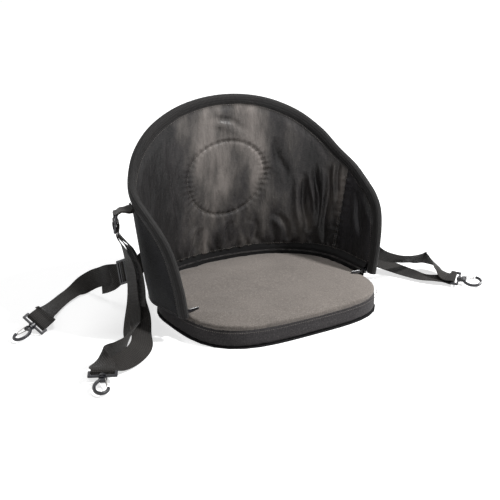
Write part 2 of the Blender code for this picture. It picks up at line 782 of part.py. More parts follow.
def make_slider(word, frame, metal):
    """A slider over the chain's end. Its frame has X forwards, Y towards the sitter and Z square to both."""
    half_length, half_height = SLIDER_LENGTH / 2, SLIDER_HEIGHT / 2
    half_thick = SLIDER_THICKNESS / 2
    body = block(
        "zip_slider_" + word,
        frame,
        (-half_length, -half_thick, -half_height),
        (half_length, half_thick, half_height),
        metal,
        bevel=0.0008,
    )
    pin_y = half_thick + EAR_REACH / 2
    for number, sign in enumerate((-1, 1)):
        inner = sign * EAR_SPACE / 2
        outer = sign * (EAR_SPACE / 2 + EAR_THICKNESS)
        ear = block(
            f"ear_{word}_{number}",
            frame,
            (-EAR_REACH / 2, half_thick - EAR_THICKNESS, min(inner, outer)),
            (EAR_REACH / 2, half_thick + EAR_REACH, max(inner, outer)),
        )
        union(body, ear)
    reach = EAR_SPACE / 2 + EAR_THICKNESS / 2
    union(body, rod("ear_pin_" + word, frame, (0, pin_y, -reach), (0, pin_y, reach), PIN_RADIUS, sides=12))
    slot_end = half_length - SLIDER_POST
    half_slot = TAPE_THICKNESS / 2 + RUNNING_GAP
    channel = CHAIN_RADIUS + RUNNING_GAP
    cut(
        body,
        block(
            "slider_slot_" + word,
            frame,
            (-SLIDER_LENGTH, -half_slot, -SLIDER_HEIGHT),
            (slot_end, half_slot, SLIDER_HEIGHT),
        ),
        block(
            "slider_channel_" + word,
            frame,
            (-SLIDER_LENGTH, -channel, -channel),
            (slot_end, channel, channel),
        ),
    )
    eye = PIN_RADIUS + RUNNING_GAP
    barrel = eye + PULL_THICKNESS * 0.7
    half_space = EAR_SPACE / 2 - RUNNING_GAP
    pull_frame = frame @ Matrix.Translation((0, pin_y, 0))
    low, high = (0, 0, -half_space), (0, 0, half_space)
    pull = rod("zip_pull_" + word, pull_frame, low, high, barrel, metal, sides=16)
    neck_end = EAR_REACH * math.sqrt(0.5) + 2 * RUNNING_GAP
    neck = block(
        "pull_neck_" + word,
        pull_frame,
        (-PULL_THICKNESS / 2, barrel * 0.6, -half_space),
        (PULL_THICKNESS / 2, neck_end + 0.001, half_space),
    )
    tab = block(
        "pull_tab_" + word,
        pull_frame,
        (-PULL_THICKNESS / 2 - 0.0002, neck_end, -PULL_WIDTH / 2),
        (PULL_THICKNESS / 2 + 0.0002, PULL_LENGTH, PULL_WIDTH / 2),
        bevel=0.0005,
    )
    union(pull, neck, tab)
    cut(pull, rod("pull_eye_" + word, pull_frame, (0, 0, -EAR_SPACE), (0, 0, EAR_SPACE), eye, sides=12))


def lock_edges():
    """Ends of a ladder lock's bars and slots along its length, from the tab's end."""
    sizes = (LOCK_END, SLOT, LOCK_BAR, SLOT, LOCK_BAR, WIDE_SLOT, LOCK_BAR, SLOT, LOCK_LIP)
    edges = [-sum(sizes) / 2]
    for size in sizes:
        edges.append(edges[-1] + size)
    return edges


def lock_frame(key):
    """X from tab to strap, Z towards the side the straps leave by."""
    centre, along, under = LOCKS[key]
    across = Vector(under).cross(Vector(along))
    return placed(along, across, centre)


def make_lock(key, plastic):
    frame = lock_frame(key)
    edges = lock_edges()
    half = WEBBING_WIDTH / 2 + RUNNING_GAP + LOCK_CHEEK
    thick = LOCK_THICKNESS / 2
    lock = block(
        "ladder_lock_" + key, frame, (edges[0], -half, -thick), (edges[-1], half, thick), plastic, LOCK_BEVEL
    )
    inside = WEBBING_WIDTH / 2 + RUNNING_GAP
    for number in (1, 3, 5, 7):
        low = (edges[number], -inside, -LOCK_THICKNESS)
        high = (edges[number + 1], inside, LOCK_THICKNESS)
        cut(lock, block(f"lock_slot_{key}_{number}", frame, low, high))


def round_bar(low, high):
    """Line of a strap over the far side of a lock's bar, between the slots beside it."""
    face = LOCK_THICKNESS / 2
    clear = SEAT_CLEAR
    bend = clear * math.sqrt(0.5)
    return [
        (low - clear, 0.0),
        (low - clear, -face),
        (low - bend, -face - bend),
        (low, -face - clear),
        (high, -face - clear),
        (high + bend, -face - bend),
        (high + clear, -face),
        (high + clear, 0.0),
    ]


def lock_stations(key, points):
    frame = lock_frame(key)
    across = frame.to_3x3() @ Vector((0, 1, 0))
    return [(frame @ Vector((x, 0, z)), across) for x, z in points]


def anchor_line():
    """The sewn end of a strap round its own bar, then out under the lip."""
    edges = lock_edges()
    face, clear = LOCK_THICKNESS / 2, SEAT_CLEAR
    line = [(edges[6] - clear, face * 0.7)] + round_bar(edges[6], edges[7])
    line += [
        (edges[7] + clear, face * 0.7),
        (edges[7] + clear * 1.3, face + clear * 0.45),
        (edges[7] + clear * 2.1, face + clear * 0.95),
        (edges[8] + clear * 1.4, face + clear),
        (edges[9] + clear * 2, face + clear * 1.1),
    ]
    return line


def adjusting_line():
    """The free strap up through the lock, over its bar and down again as the tail."""
    edges = lock_edges()
    face, clear = LOCK_THICKNESS / 2, SEAT_CLEAR
    layer = WEBBING_THICKNESS + 2 * GAP
    tail = face + clear + layer
    loaded = tail + layer
    line = [
        (edges[9] + clear * 2, loaded + clear * 0.2),
        (edges[6], loaded),
        (edges[5] - clear, loaded - clear * 0.6),
        (edges[4] - clear * 0.9, face + clear * 1.9),
        (edges[4] - clear, face + clear * 0.4),
    ]
    line += round_bar(edges[4], edges[5])
    line += [
        (edges[5] + clear, face + clear * 0.2),
        (edges[5] + clear * 1.6, tail - clear * 1.3),
        (edges[5] + clear * 2.9, tail - clear * 0.3),
        (edges[6] + clear, tail),
        (edges[9] + clear * 2, tail + clear * 0.1),
    ]
    return line


def hook_frame(key):
    """X from the webbing bar to the tip, Y across."""
    centre, along, across, _ = HOOKS[key]
    return placed(along, across, centre)


def bar_wrap(key, first_side):
    """Stations of a strap round a hook's webbing bar, from one face to the other."""
    frame = hook_frame(key)
    across = frame.to_3x3() @ Vector((0, 1, 0))
    reach = WRAP_RADIUS
    line = [(-WRAP_RUN, first_side * reach * 0.8), (-reach, first_side * reach)]
    for angle in (90, 50, 0, -50, -90):
        turn = math.radians(angle)
        line.append((reach * math.cos(turn), first_side * reach * math.sin(turn)))
    line += [(-reach, -first_side * reach), (-WRAP_RUN, -first_side * reach * 0.8)]
    return [(frame @ Vector((x, 0, z)), across) for x, z in line]


def sewn_wrap(key, first_side):
    """A strap's end folded round a hook's bar and sewn back on itself."""
    frame = hook_frame(key)
    across = frame.to_3x3() @ Vector((0, 1, 0))
    close = WEBBING_THICKNESS / 2 + GAP
    end = [(-SEWN_FAR, first_side * close), (-SEWN_NEAR, first_side * close * 1.4)]
    leave = [(-SEWN_NEAR, -first_side * close * 1.4), (-SEWN_FAR, -first_side * close)]
    start = [(frame @ Vector((x, 0, z)), across) for x, z in end]
    finish = [(frame @ Vector((x, 0, z)), across) for x, z in leave]
    return start + bar_wrap(key, first_side) + finish


def make_tab(key, material):
    """The doubled tab that ties a ladder lock to the backrest."""
    (from_place, from_height), (to_place, to_height) = TAB_SEWN[key]
    onward, outward, cover_first = TAB_LEAVE[key]
    edges = lock_edges()
    face, clear = LOCK_THICKNESS / 2, SEAT_CLEAR
    bend = clear * math.sqrt(0.5)
    lower = HALF_STACK + GAP + TAB_SLACK + WEBBING_THICKNESS / 2
    upper = lower + WEBBING_THICKNESS + 2 * GAP

    def sewn(out):
        """The sewn run of one layer, and its first free point, kept beside the other layer in the bend."""
        stations = []
        for share in (0.0, 0.5, 1.0):
            place = from_place + share * (to_place - from_place)
            height = from_height + share * (to_height - from_height)
            stations.append((shell_point(place, height, out), shell_point(place, height, out + 0.01)))
        run = (stations[-1][0] - stations[0][0]).normalized()
        line = [(point, (lifted - point).cross(run)) for point, lifted in stations]
        last, lifted = stations[-1]
        normal = (lifted - last).normalized()
        beside = out - lower
        bend_angle = math.atan2(outward, onward)
        last -= run * (beside * math.sin(bend_angle))
        line[-1] = (last, line[-1][1])
        free = last + run * onward + normal * (outward - beside * (1 - math.cos(bend_angle)))
        return line + [(free, line[-1][1])]

    layer = (WEBBING_THICKNESS + 2 * GAP) * math.sqrt(0.5)
    seat = edges[0] + LOCK_BEVEL
    near = [
        (seat - TAB_LIFT, face + clear + TAB_LIFT),
        (seat, face + clear),
        (edges[1], face + clear),
        (edges[1] + bend, face + bend),
        (edges[1] + clear, face),
    ]
    over = [(x, -z) for x, z in near[:1:-1]]
    over += [
        (edges[0], -face - clear),
        (edges[0] - bend, -face - bend),
        (edges[0] - clear, -face),
        (edges[0] - clear * 1.1, 0.0),
        (edges[0] - clear - layer * 0.5, face),
        (seat - TAB_LIFT - layer, face + clear + TAB_LIFT - layer),
    ]
    through = lock_stations(key, near + over)
    layers = (lower, upper) if cover_first else (upper, lower)
    start, finish = sewn(layers[0]), sewn(layers[1])[::-1]

    def between(first, second):
        turned = second[1] if first[1].dot(second[1]) > 0 else -second[1]
        return first[0].lerp(second[0], 0.5), first[1].lerp(turned, 0.5)

    near_middle, far_middle = between(start[-1], through[0]), between(through[-1], finish[0])
    across = near_middle[1].normalized()
    square = (through[0][0] - start[-1][0]).cross(across).normalized()
    apart = square.dot(far_middle[0] - near_middle[0])
    push = max(0.0, WEBBING_THICKNESS + 3 * GAP - abs(apart))
    far_middle = (far_middle[0] + square * math.copysign(push, apart), far_middle[1])

    line = start + [near_middle] + through + [far_middle] + finish
    webbing("tab_" + key, line, material, skewed=True)


def make_hook(key, plastic, steel):
    frame = hook_frame(key)
    half_bar = HOOK_BAR / 2
    half_width = WEBBING_WIDTH / 2 + RUNNING_GAP + HOOK_CHEEK
    slot_end = half_bar + HOOK_SLOT
    cross_end = slot_end + HOOK_CROSS
    boss_end = slot_end + BOSS_LENGTH
    base = block(
        "hook_base_" + key,
        frame,
        (-half_bar, -half_width, -half_bar),
        (cross_end, half_width, half_bar),
        plastic,
        bevel=HOOK_BEVEL,
    )
    inside = WEBBING_WIDTH / 2 + RUNNING_GAP
    boss = rod("boss_" + key, frame, (slot_end, 0, 0), (boss_end, 0, 0), BOSS_RADIUS, sides=24)
    slot = block("hook_slot_" + key, frame, (half_bar, -inside, -HOOK_BAR), (slot_end, inside, HOOK_BAR))
    bore_radius = POST_RADIUS + RUNNING_GAP
    bore = rod("bore_" + key, frame, (half_bar, 0, 0), (2 * boss_end, 0, 0), bore_radius, sides=24)
    cut(union(cut(base, slot), boss), bore)

    start = Vector((boss_end + RUNNING_GAP + COLLAR_LENGTH, 0, 0))
    gate_side = Vector(HOOKS[key][3])
    body_frame = placed(frame.to_3x3() @ Vector((1, 0, 0)), gate_side, frame @ start)

    def local(share):
        return Vector((share[1] * HOOK_LENGTH, share[0] * HOOK_WIDTH, 0))

    points = [sample[0] for sample in hermite([(local(share),) for share in HOOK_LINE], HOOK_STEP)]
    body = wire("hook_" + key, points, HOOK_ROD_RADIUS, plastic, body_frame)
    head_end = -start.x + slot_end - RUNNING_GAP
    root = block(
        "hook_root_" + key,
        body_frame,
        (-COLLAR_LENGTH / 2, -ROOT_BACK, -HOOK_ROD_RADIUS),
        (ROOT_LENGTH, ROOT_FRONT, HOOK_ROD_RADIUS),
        bevel=HOOK_BEVEL,
    )
    head_start = (head_end - POST_HEAD, 0, 0)
    post = rod("post_" + key, body_frame, (head_end - POST_HEAD / 2, 0, 0), (ROOT_REACH, 0, 0), POST_RADIUS)
    head = rod("post_head_" + key, body_frame, head_start, (head_end, 0, 0), POST_HEAD_RADIUS)
    collar = rod("collar_" + key, body_frame, (-COLLAR_LENGTH, 0, 0), (ROOT_REACH, 0, 0), COLLAR_RADIUS)
    pivot, tip = local(GATE_PIVOT), local(GATE_TIP)
    clear = GATE_RADIUS + RUNNING_GAP
    side = Vector((0, 0, HOOK_ROD_RADIUS * 2))
    union(body, root, collar, post, head)
    cut(body, rod("gate_hole_" + key, body_frame, pivot - side, pivot + side, clear, sides=12))

    spread_half = HOOK_ROD_RADIUS + RUNNING_GAP + GATE_RADIUS
    reach = tip - pivot
    rest = []
    for sign in (1, -1):
        leg = [
            Vector((0, 0, sign * (spread_half - GATE_RADIUS))),
            reach * 0.06 + Vector((0, 0, sign * spread_half)),
            reach * 0.5 + Vector((0, 0, sign * (spread_half + GATE_NOSE_HALF) / 2)),
            reach * 0.95 + Vector((0, 0, sign * GATE_NOSE_HALF)),
            reach + Vector((0, 0, sign * GATE_NOSE_HALF * 0.6)),
        ]
        rest += leg[::sign]
    gate_frame = body_frame @ Matrix.Translation(pivot)
    wire("wire_gate_" + key, rest, GATE_RADIUS, steel, gate_frame, closed=True)


def make_hardware(webbing_cloth, plastic, steel):
    for key in LOCKS:
        make_lock(key, plastic)
        make_tab(key, webbing_cloth)
        make_hook(key, plastic, steel)

    for key, down, up, tail in (
        ("front_left", FRONT_LEFT_DOWN, FRONT_LEFT_UP, FRONT_LEFT_TAIL),
        ("front_right", FRONT_RIGHT_DOWN, FRONT_RIGHT_UP, FRONT_RIGHT_TAIL),
    ):
        stations = lock_stations(key, anchor_line()) + list(down) + bar_wrap(key, 1)
        stations += list(up) + lock_stations(key, adjusting_line()) + list(tail)
        webbing("strap_" + key, stations, webbing_cloth)

    for key, route, tail in (
        ("rear_left", REAR_LEFT_ROUTE, REAR_LEFT_TAIL),
        ("rear_right", REAR_RIGHT_ROUTE, REAR_RIGHT_TAIL),
    ):
        stations = sewn_wrap(key, -1) + list(route[::-1]) + lock_stations(key, adjusting_line()) + list(tail)
        webbing("strap_" + key, stations, webbing_cloth)


def build_all():
    cloth = make_material("outer_cloth", (0.018, 0.018, 0.020), 0.85)
    lining = make_material("satin_lining", (0.030, 0.029, 0.029), 0.45)
    foam = make_material("foam", (0.10, 0.10, 0.11), 0.9)
    base = make_material("base_cloth", (0.012, 0.012, 0.013), 0.9)
    binding = make_material("binding_tape", (0.030, 0.029, 0.028), 0.8)
    tape = make_material("zip_tape", (0.014, 0.014, 0.015), 0.85)
    webbing = make_material("webbing", (0.050, 0.046, 0.043), 0.8)
    plastic = make_material("black_plastic", (0.020, 0.020, 0.024), 0.35)
    steel = make_material("steel_wire", (0.55, 0.54, 0.52), 0.3, 1.0)
    make_pad(cloth, foam, base)
    make_back(cloth, lining, foam, binding)
    make_zip(tape, plastic, plastic)
    make_hardware(webbing, plastic, steel)


build_all()
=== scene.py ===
"""Looks of a soft kayak seat: sewn cloth, foam pad, webbing, zip and snap hooks, in a plain pale studio.

Metres, in the same frame as the solids. Distances along the backrest's hem are signed, with 0 at the
middle of the back and plus towards +X, the side that the names call right.
"""

import bisect
import functools
import math

import bmesh
import bpy
from mathutils import Matrix, Vector, noise


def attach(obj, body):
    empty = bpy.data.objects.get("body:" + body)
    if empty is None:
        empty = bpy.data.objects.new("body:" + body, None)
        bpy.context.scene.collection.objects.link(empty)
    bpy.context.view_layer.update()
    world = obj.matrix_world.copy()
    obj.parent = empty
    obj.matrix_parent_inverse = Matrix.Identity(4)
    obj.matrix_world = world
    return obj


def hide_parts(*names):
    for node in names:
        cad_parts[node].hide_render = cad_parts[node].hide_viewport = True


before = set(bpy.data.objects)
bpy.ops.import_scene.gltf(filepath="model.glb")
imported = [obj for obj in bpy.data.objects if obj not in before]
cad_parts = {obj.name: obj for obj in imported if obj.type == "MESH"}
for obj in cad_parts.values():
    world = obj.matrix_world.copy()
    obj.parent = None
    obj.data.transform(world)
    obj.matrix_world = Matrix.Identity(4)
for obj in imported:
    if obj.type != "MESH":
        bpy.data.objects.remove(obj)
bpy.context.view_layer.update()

# The photograph's camera
CAMERA_PLACE = (-0.8417, -1.2983, 0.6307)
CAMERA_FORWARD = (0.50245, 0.80354, -0.31917)
CAMERA_LENS = 62.587
CAMERA_SENSOR = 36.0

# The studio: the floor glows more with distance, so that it ends white
FLOOR_REACH = 12.0
FLOOR_DROP = 0.0002
FLOOR_PALENESS = 0.60
GLOW_FROM = 0.6
GLOW_TO = 2.0
NEAR_GLOW = 0.68
FAR_GLOW = 0.97
SKY_STRENGTH = 0.22
WHITE = (1.0, 1.0, 1.0, 1.0)
# Lamps: name, place, what it points at, size, power
LAMPS = (
    ("key", (1.45, -1.40, 2.30), (0.0, 0.0, 0.10), 0.30, 125.0),
    ("top", (0.30, 0.2, 2.6), (0.0, 0.0, 0.05), 0.9, 22.0),
    ("side", (-1.9, -1.4, 0.9), (0.0, 0.0, 0.10), 0.9, 3.0),
)

# The pad: its outline's powers, its section, and the cloth blown up over it
PAD_WIDTH = 0.400
PAD_BACK_REACH = 0.146
PAD_FRONT_REACH = 0.189
BACK_POWER = 2.2
FRONT_POWER = 3.6
PAD_HEIGHT = 0.042
PAD_CROWN = 0.007
EDGE_ROLL = 0.009
BAND_TOP = 0.0325
PAD_FOOT = 0.0014
PAD_STEPS = 260
PAD_VOXEL = 0.0045
PAD_PRESSURE = 4.0
PAD_CAP = 0.0022
PAD_FRAMES = 20
CLOTH_QUALITY = 5
CLOTH_MASS = 0.3
WIDEST_Y = (PAD_FRONT_REACH - PAD_BACK_REACH) / 2

# The backrest: FLARE and LEAN_IN are per metre of height above the hem
BACK_HEIGHT = 0.379
WING_REACH = 0.372
HEM_HEIGHT = 0.030
HEM_LIFT = 0.013
HEM_LIFT_FROM = 0.21
FLARE = 0.16
LEAN_IN = 0.08
SHELL_GROW = 0.0081
SIDE_SEAM_REACH = 0.250
LINING_FOOT = 0.060
SKIN = 0.0042
CLOTH = 0.0010
# Least depth of the lining, room left at the panels' ends, between them and under the rim, and mesh steps
LEAST_DEPTH = -0.0022
PANEL_MARGIN = 0.0035
PANEL_GAP = 0.0004
RIM_MARGIN = 0.0032
RIM_STEP = 0.0026
LINING_ROWS = 120
COVER_ROWS = 90
COVER_STEP = 0.0032
BINDING_DEPTH = 0.014
# The lining's cloth: puffed between seams, ruffled along the side seams, gathered at its foot,
# grooved along the circle's stitches and puckered beside them
PUFF = 0.0032
RUFFLE = 0.0012
RUFFLE_PITCH = 0.0155
GATHER = 0.0017
GATHER_PITCH = 0.0205
GROOVE = 0.0030
GROOVE_WIDTH = 0.0034
PUCKER = 0.0007
PUCKER_WIDTH = 0.010
PUCKER_COUNT = 44
LEAST_PUFF = 0.0012
CIRCLE_PLACE = 0.006
CIRCLE_HEIGHT = 0.216
CIRCLE_RADIUS = 0.0753
RIM_PROFILE = (
    (0.0, 1.0),
    (0.172, 0.974),
    (0.333, 0.900),
    (0.470, 0.797),
    (0.591, 0.689),
    (0.747, 0.602),
    (0.828, 0.554),
    (0.900, 0.505),
    (0.955, 0.440),
    (0.985, 0.350),
    (1.0, 0.240),
)

# Folds of the lining: from and to as distance along the hem and height, half width, depth
FOLDS = (
    (0.150, 0.215, 0.182, 0.085, 0.0060, 0.0048),
    (0.176, 0.235, 0.205, 0.100, 0.0050, 0.0052),
    (0.205, 0.225, 0.222, 0.070, 0.0055, 0.0050),
    (0.120, 0.130, 0.150, 0.068, 0.0060, 0.0036),
    (0.090, 0.290, 0.125, 0.200, 0.0070, 0.0030),
    (0.225, 0.270, 0.235, 0.150, 0.0045, 0.0036),
    (-0.105, 0.300, -0.095, 0.110, 0.0040, 0.0020),
    (-0.040, 0.120, -0.070, 0.065, 0.0060, 0.0030),
    (0.020, 0.125, 0.010, 0.066, 0.0065, 0.0030),
    (0.070, 0.120, 0.085, 0.064, 0.0060, 0.0032),
    (-0.150, 0.250, -0.190, 0.120, 0.0080, 0.0030),
    (-0.215, 0.200, -0.235, 0.090, 0.0060, 0.0034),
    (-0.285, 0.190, -0.330, 0.110, 0.0070, 0.0030),
    (0.285, 0.190, 0.325, 0.100, 0.0060, 0.0030),
    (-0.020, 0.345, 0.045, 0.310, 0.0060, 0.0024),
)
# How much deeper the folds are than the table says
FOLD_SCALE = 1.35

# Webbing, locks and hooks
WEBBING_WIDTH = 0.038
WEBBING_THICKNESS = 0.0016
WEBBING_STEP = 0.0035
LOCK_THICKNESS = 0.0034
LOCK_END = 0.0036
LOCK_BAR = 0.0026
LOCK_LIP = 0.0044
LOCK_BEVEL = 0.0005
SLOT_SLACK = 0.0009
TAB_SLACK = 0.0004
TAB_LIFT = 0.0045
WRAP_RUN = 0.010
SEWN_NEAR = 0.017
SEWN_FAR = 0.026
HOOK_BAR = 0.0044
GAP = 0.0003
HALF_STACK = 0.0045
SLOT = WEBBING_THICKNESS + 2 * SLOT_SLACK
WIDE_SLOT = SLOT + WEBBING_THICKNESS
SEAT_CLEAR = GAP + WEBBING_THICKNESS / 2
WRAP_RADIUS = HOOK_BAR * 0.62 + 2 * GAP + WEBBING_THICKNESS / 2

# Zip: the chain's place beyond the pad's outline, and its teeth
CHAIN_HEIGHT = 0.0479
CHAIN_GROW = 0.0004
CHAIN_REACH = 0.356
TOOTH_PITCH = 0.0021
TOOTH_SIZE = (0.0013, 0.0026, 0.0017)
TOOTH_RISE = 0.0009
TOOTH_BEVEL = 0.0002

# Cloth: fine weave, gloss of the satin and its painted shade, unevenness of ribs
WEAVE_SCALE = 900.0
WEAVE_DEPTH = 0.00035
SHEEN_ROUGHNESS = 0.45
PAINTED_SHADE_DEPTH = 0.12
BAND_DISTORTION = 0.6

# Stitches: size of a thread, and distances of the rows from seams and edges
STITCH_PITCH = 0.0040
STITCH_LENGTH = 0.0030
STITCH_RADIUS = 0.00042
STITCH_WAIST = 0.55
STITCH_LIFT = 0.0002
SEAM_STITCH_OFFSET = 0.0028
PAD_STITCH_OFFSET = 0.0030
FOOT_STITCH_LIFT = 0.004
HEM_STITCH_LIFT = 0.005

# Routes of the straps: centre of the webbing, then the direction across its width
FRONT_LEFT_DOWN = (
    ((-0.267, 0.036, 0.15), (-0.2, -0.97, 0.1)),
    ((-0.263, 0.024, 0.125), (0.0, -1.0, 0.05)),
    ((-0.2645, 0.011, 0.082), (0.05, -1.0, 0.0)),
    ((-0.27, 0.001, 0.048), (0.2, -0.97, 0.0)),
    ((-0.282, -0.018, 0.028), (0.35, -0.85, 0.3)),
    ((-0.301, -0.05, 0.0215), (0.1, -0.5, 0.85)),
    ((-0.32, -0.07, 0.0205), (-0.2, -0.45, 0.86)),
    ((-0.341, -0.08, 0.0205), (-0.3, -0.42, 0.85)),
    ((-0.36, -0.086, 0.0212), (-0.15, -0.35, 0.9)),
    ((-0.374, -0.094, 0.0225), (0.35, -0.3, 0.88)),
    ((-0.38, -0.105, 0.0215), (0.75, -0.4, 0.5)),
)
FRONT_LEFT_UP = (
    ((-0.363, -0.116, 0.0115), (0.8, -0.57, -0.12)),
    ((-0.336, -0.108, 0.0115), (0.7, -0.62, -0.32)),
    ((-0.308, -0.092, 0.013), (0.66, -0.64, -0.36)),
    ((-0.287, -0.068, 0.0145), (0.72, -0.58, -0.35)),
    ((-0.271, -0.03, 0.025), (0.45, -0.75, -0.42)),
    ((-0.257, 0.002, 0.051), (0.2, -0.97, -0.1)),
    ((-0.25, 0.016, 0.085), (0.05, -1.0, 0.0)),
    ((-0.2485, 0.027, 0.122), (0.0, -1.0, 0.0)),
    ((-0.2545, 0.036, 0.152), (-0.15, -0.98, 0.05)),
)
FRONT_LEFT_TAIL = (
    ((-0.261, 0.03, 0.15), (-0.1, -1.0, 0.05)),
    ((-0.2555, 0.014, 0.125), (0.0, -1.0, 0.0)),
    ((-0.256, 0.0, 0.09), (0.05, -1.0, 0.0)),
    ((-0.261, -0.009, 0.056), (0.1, -1.0, 0.0)),
)
FRONT_RIGHT_DOWN = (
    ((0.264, 0.028, 0.09), (0.05, -0.75, 0.62)),
    ((0.262, 0.004, 0.07), (0.05, -0.78, 0.6)),
    ((0.27, -0.016, 0.058), (0.08, -0.8, 0.58)),
    ((0.292, -0.025, 0.048), (0.1, -0.8, 0.58)),
    ((0.332, -0.027, 0.038), (0.05, -0.78, 0.6)),
    ((0.368, -0.022, 0.032), (-0.05, -0.7, 0.7)),
    ((0.391, -0.022, 0.029), (-0.4, -0.4, 0.8)),
    ((0.397, -0.042, 0.0255), (-0.68, 0.1, 0.7)),
    ((0.39, -0.064, 0.0215), (-0.78, -0.12, 0.55)),
    ((0.383, -0.085, 0.0195), (-0.8, -0.42, 0.2)),
)
FRONT_RIGHT_UP = (
    ((0.367, -0.088, 0.009), (0.8, 0.6, 0.02)),
    ((0.35, -0.062, 0.0065), (0.86, 0.5, 0.0)),
    ((0.34, -0.034, 0.0085), (0.92, 0.35, 0.1)),
    ((0.325, -0.002, 0.0135), (0.85, 0.5, 0.2)),
    ((0.298, 0.034, 0.026), (0.6, 0.7, 0.4)),
    ((0.27, 0.056, 0.042), (0.35, 0.75, 0.55)),
    ((0.252, 0.06, 0.065), (0.1, 0.8, 0.6)),
    ((0.25, 0.054, 0.09), (0.0, 0.8, -0.6)),
)
FRONT_RIGHT_TAIL = (
    ((0.259, 0.043, 0.1), (-0.05, 0.78, -0.62)),
    ((0.2575, 0.036, 0.08), (-0.05, 0.78, -0.62)),
)
REAR_LEFT_ROUTE = (
    ((-0.241, 0.179, 0.052), (0.05, 0.3, 0.95)),
    ((-0.246, 0.205, 0.04), (0.0, 0.4, 0.9)),
    ((-0.253, 0.227, 0.029), (-0.1, 0.5, 0.85)),
    ((-0.266, 0.241, 0.017), (-0.18, 0.65, 0.72)),
    ((-0.284, 0.242, 0.008), (-0.4, 0.88, 0.2)),
    ((-0.312, 0.226, 0.004), (-0.6, 0.8, 0.0)),
    ((-0.345, 0.196, 0.004), (-0.65, 0.75, 0.0)),
    ((-0.37, 0.163, 0.011), (-0.68, 0.66, 0.2)),
    ((-0.385, 0.134, 0.021), (-0.66, 0.56, 0.45)),
)
REAR_LEFT_TAIL = (
    ((-0.237, 0.165, 0.044), (0.05, 0.35, 0.95)),
    ((-0.24, 0.184, 0.033), (0.15, 0.25, 0.95)),
    ((-0.244, 0.204, 0.024), (0.2, 0.15, 0.95)),
)
REAR_RIGHT_ROUTE = (
    ((0.234, 0.178, 0.048), (0.0, 0.3, 0.95)),
    ((0.216, 0.204, 0.034), (0.05, 0.45, 0.9)),
    ((0.188, 0.224, 0.019), (-0.1, 0.8, 0.6)),
    ((0.15, 0.238, 0.0075), (-0.2, 0.97, 0.1)),
    ((0.11, 0.245, 0.005), (-0.1, 1.0, 0.0)),
)
REAR_RIGHT_TAIL = (
    ((0.235, 0.164, 0.041), (0.05, 0.35, 0.95)),
    ((0.228, 0.184, 0.031), (0.1, 0.35, 0.95)),
    ((0.214, 0.204, 0.0235), (0.1, 0.45, 0.9)),
)

# Ladder locks: centre, direction from tab to strap, direction towards the side the straps leave by
LOCKS = {
    "front_left": ((-0.277, 0.046, 0.197), (-0.12, -0.02, -0.99), (0.93, -0.36, 0.0)),
    "front_right": ((0.264, 0.064, 0.128), (0.1, -0.62, -0.78), (-0.99, -0.1, -0.05)),
    "rear_left": ((-0.226, 0.137, 0.068), (-0.3, 0.85, -0.42), (0.95, 0.25, -0.18)),
    "rear_right": ((0.224, 0.137, 0.064), (0.25, 0.85, -0.45), (-0.95, 0.25, -0.18)),
}
TAB_SEWN = {
    "front_left": ((-0.243, 0.219), (-0.243, 0.213)),
    "front_right": ((0.215, 0.186), (0.222, 0.168)),
    "rear_left": ((-0.12, 0.096), (-0.148, 0.09)),
    "rear_right": ((0.12, 0.096), (0.148, 0.09)),
}
TAB_LEAVE = {
    "front_left": (0.0005, 0.006, True),
    "front_right": (0.007, 0.0042, True),
    "rear_left": (0.007, 0.0042, False),
    "rear_right": (0.009, 0.0042, True),
}
# Hooks: middle of the webbing bar, direction to the tip, direction across
HOOKS = {
    "front_left": ((-0.3855, -0.134, 0.015), (-0.445, -0.88, -0.16), (0.89, -0.445, 0)),
    "front_right": ((0.388, -0.112, 0.0125), (0.6, -0.8, -0.05), (0.79, 0.57, 0.22)),
    "rear_left": ((-0.411, 0.101, 0.0197), (-0.85, -0.47, -0.225), (0.628, -0.486, -0.53)),
    "rear_right": ((0.04, 0.247, 0.011), (-0.99, 0.1, -0.075), (0.1, 0.99, 0)),
}


def new_object(name, data):
    made = bpy.data.objects.new(name, data)
    bpy.context.scene.collection.objects.link(made)
    return made


def finished_mesh(build, name):
    mesh = bpy.data.meshes.new(name)
    build.to_mesh(mesh)
    build.free()
    return mesh


def subdivide(piece):
    smooth = piece.modifiers.new("smooth", "SUBSURF")
    smooth.levels = smooth.render_levels = 1


def make_camera():
    data = bpy.data.cameras.new("camera")
    data.lens = CAMERA_LENS
    data.sensor_width = CAMERA_SENSOR
    camera = new_object("camera", data)
    back = -Vector(CAMERA_FORWARD).normalized()
    right = Vector((0, 0, 1)).cross(back).normalized()
    up = back.cross(right)
    turn = Matrix((right, up, back)).transposed().to_4x4()
    camera.matrix_world = Matrix.Translation(Vector(CAMERA_PLACE)) @ turn
    bpy.context.scene.camera = camera


def add_piece(name, mesh, material, replaced=()):
    piece = new_object(name, mesh)
    mesh.materials.append(material)
    mesh.shade_smooth()
    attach(piece, "root")
    if replaced:
        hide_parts(*replaced)
    return piece


def grid_mesh(name, rows, closed=False):
    """A sheet through rows of points. A closed one is a tube with a face at each end."""
    across = len(rows[0])
    points = [point for row in rows for point in row]
    faces = []
    if closed:
        faces = [tuple(range(across)), tuple(range(len(points) - 1, len(points) - across - 1, -1))]
    for index in range(len(rows) - 1):
        for column in range(across if closed else across - 1):
            after = (column + 1) % across
            low, high = index * across, (index + 1) * across
            faces.append((low + column, low + after, high + after, high + column))
    mesh = bpy.data.meshes.new(name)
    mesh.from_pydata(points, [], faces)
    build = bmesh.new()
    build.from_mesh(mesh)
    bmesh.ops.recalc_face_normals(build, faces=build.faces)
    build.to_mesh(mesh)
    build.free()
    return mesh


def thicken(piece, thickness, offset):
    """Gives a sheet its thickness: offset 1 puts it on the side the faces look to, 0 on both."""
    solidify = piece.modifiers.new("thickness", "SOLIDIFY")
    solidify.thickness = thickness
    solidify.offset = offset


def spread(value, power):
    return math.copysign(abs(value) ** (2 / power), value)


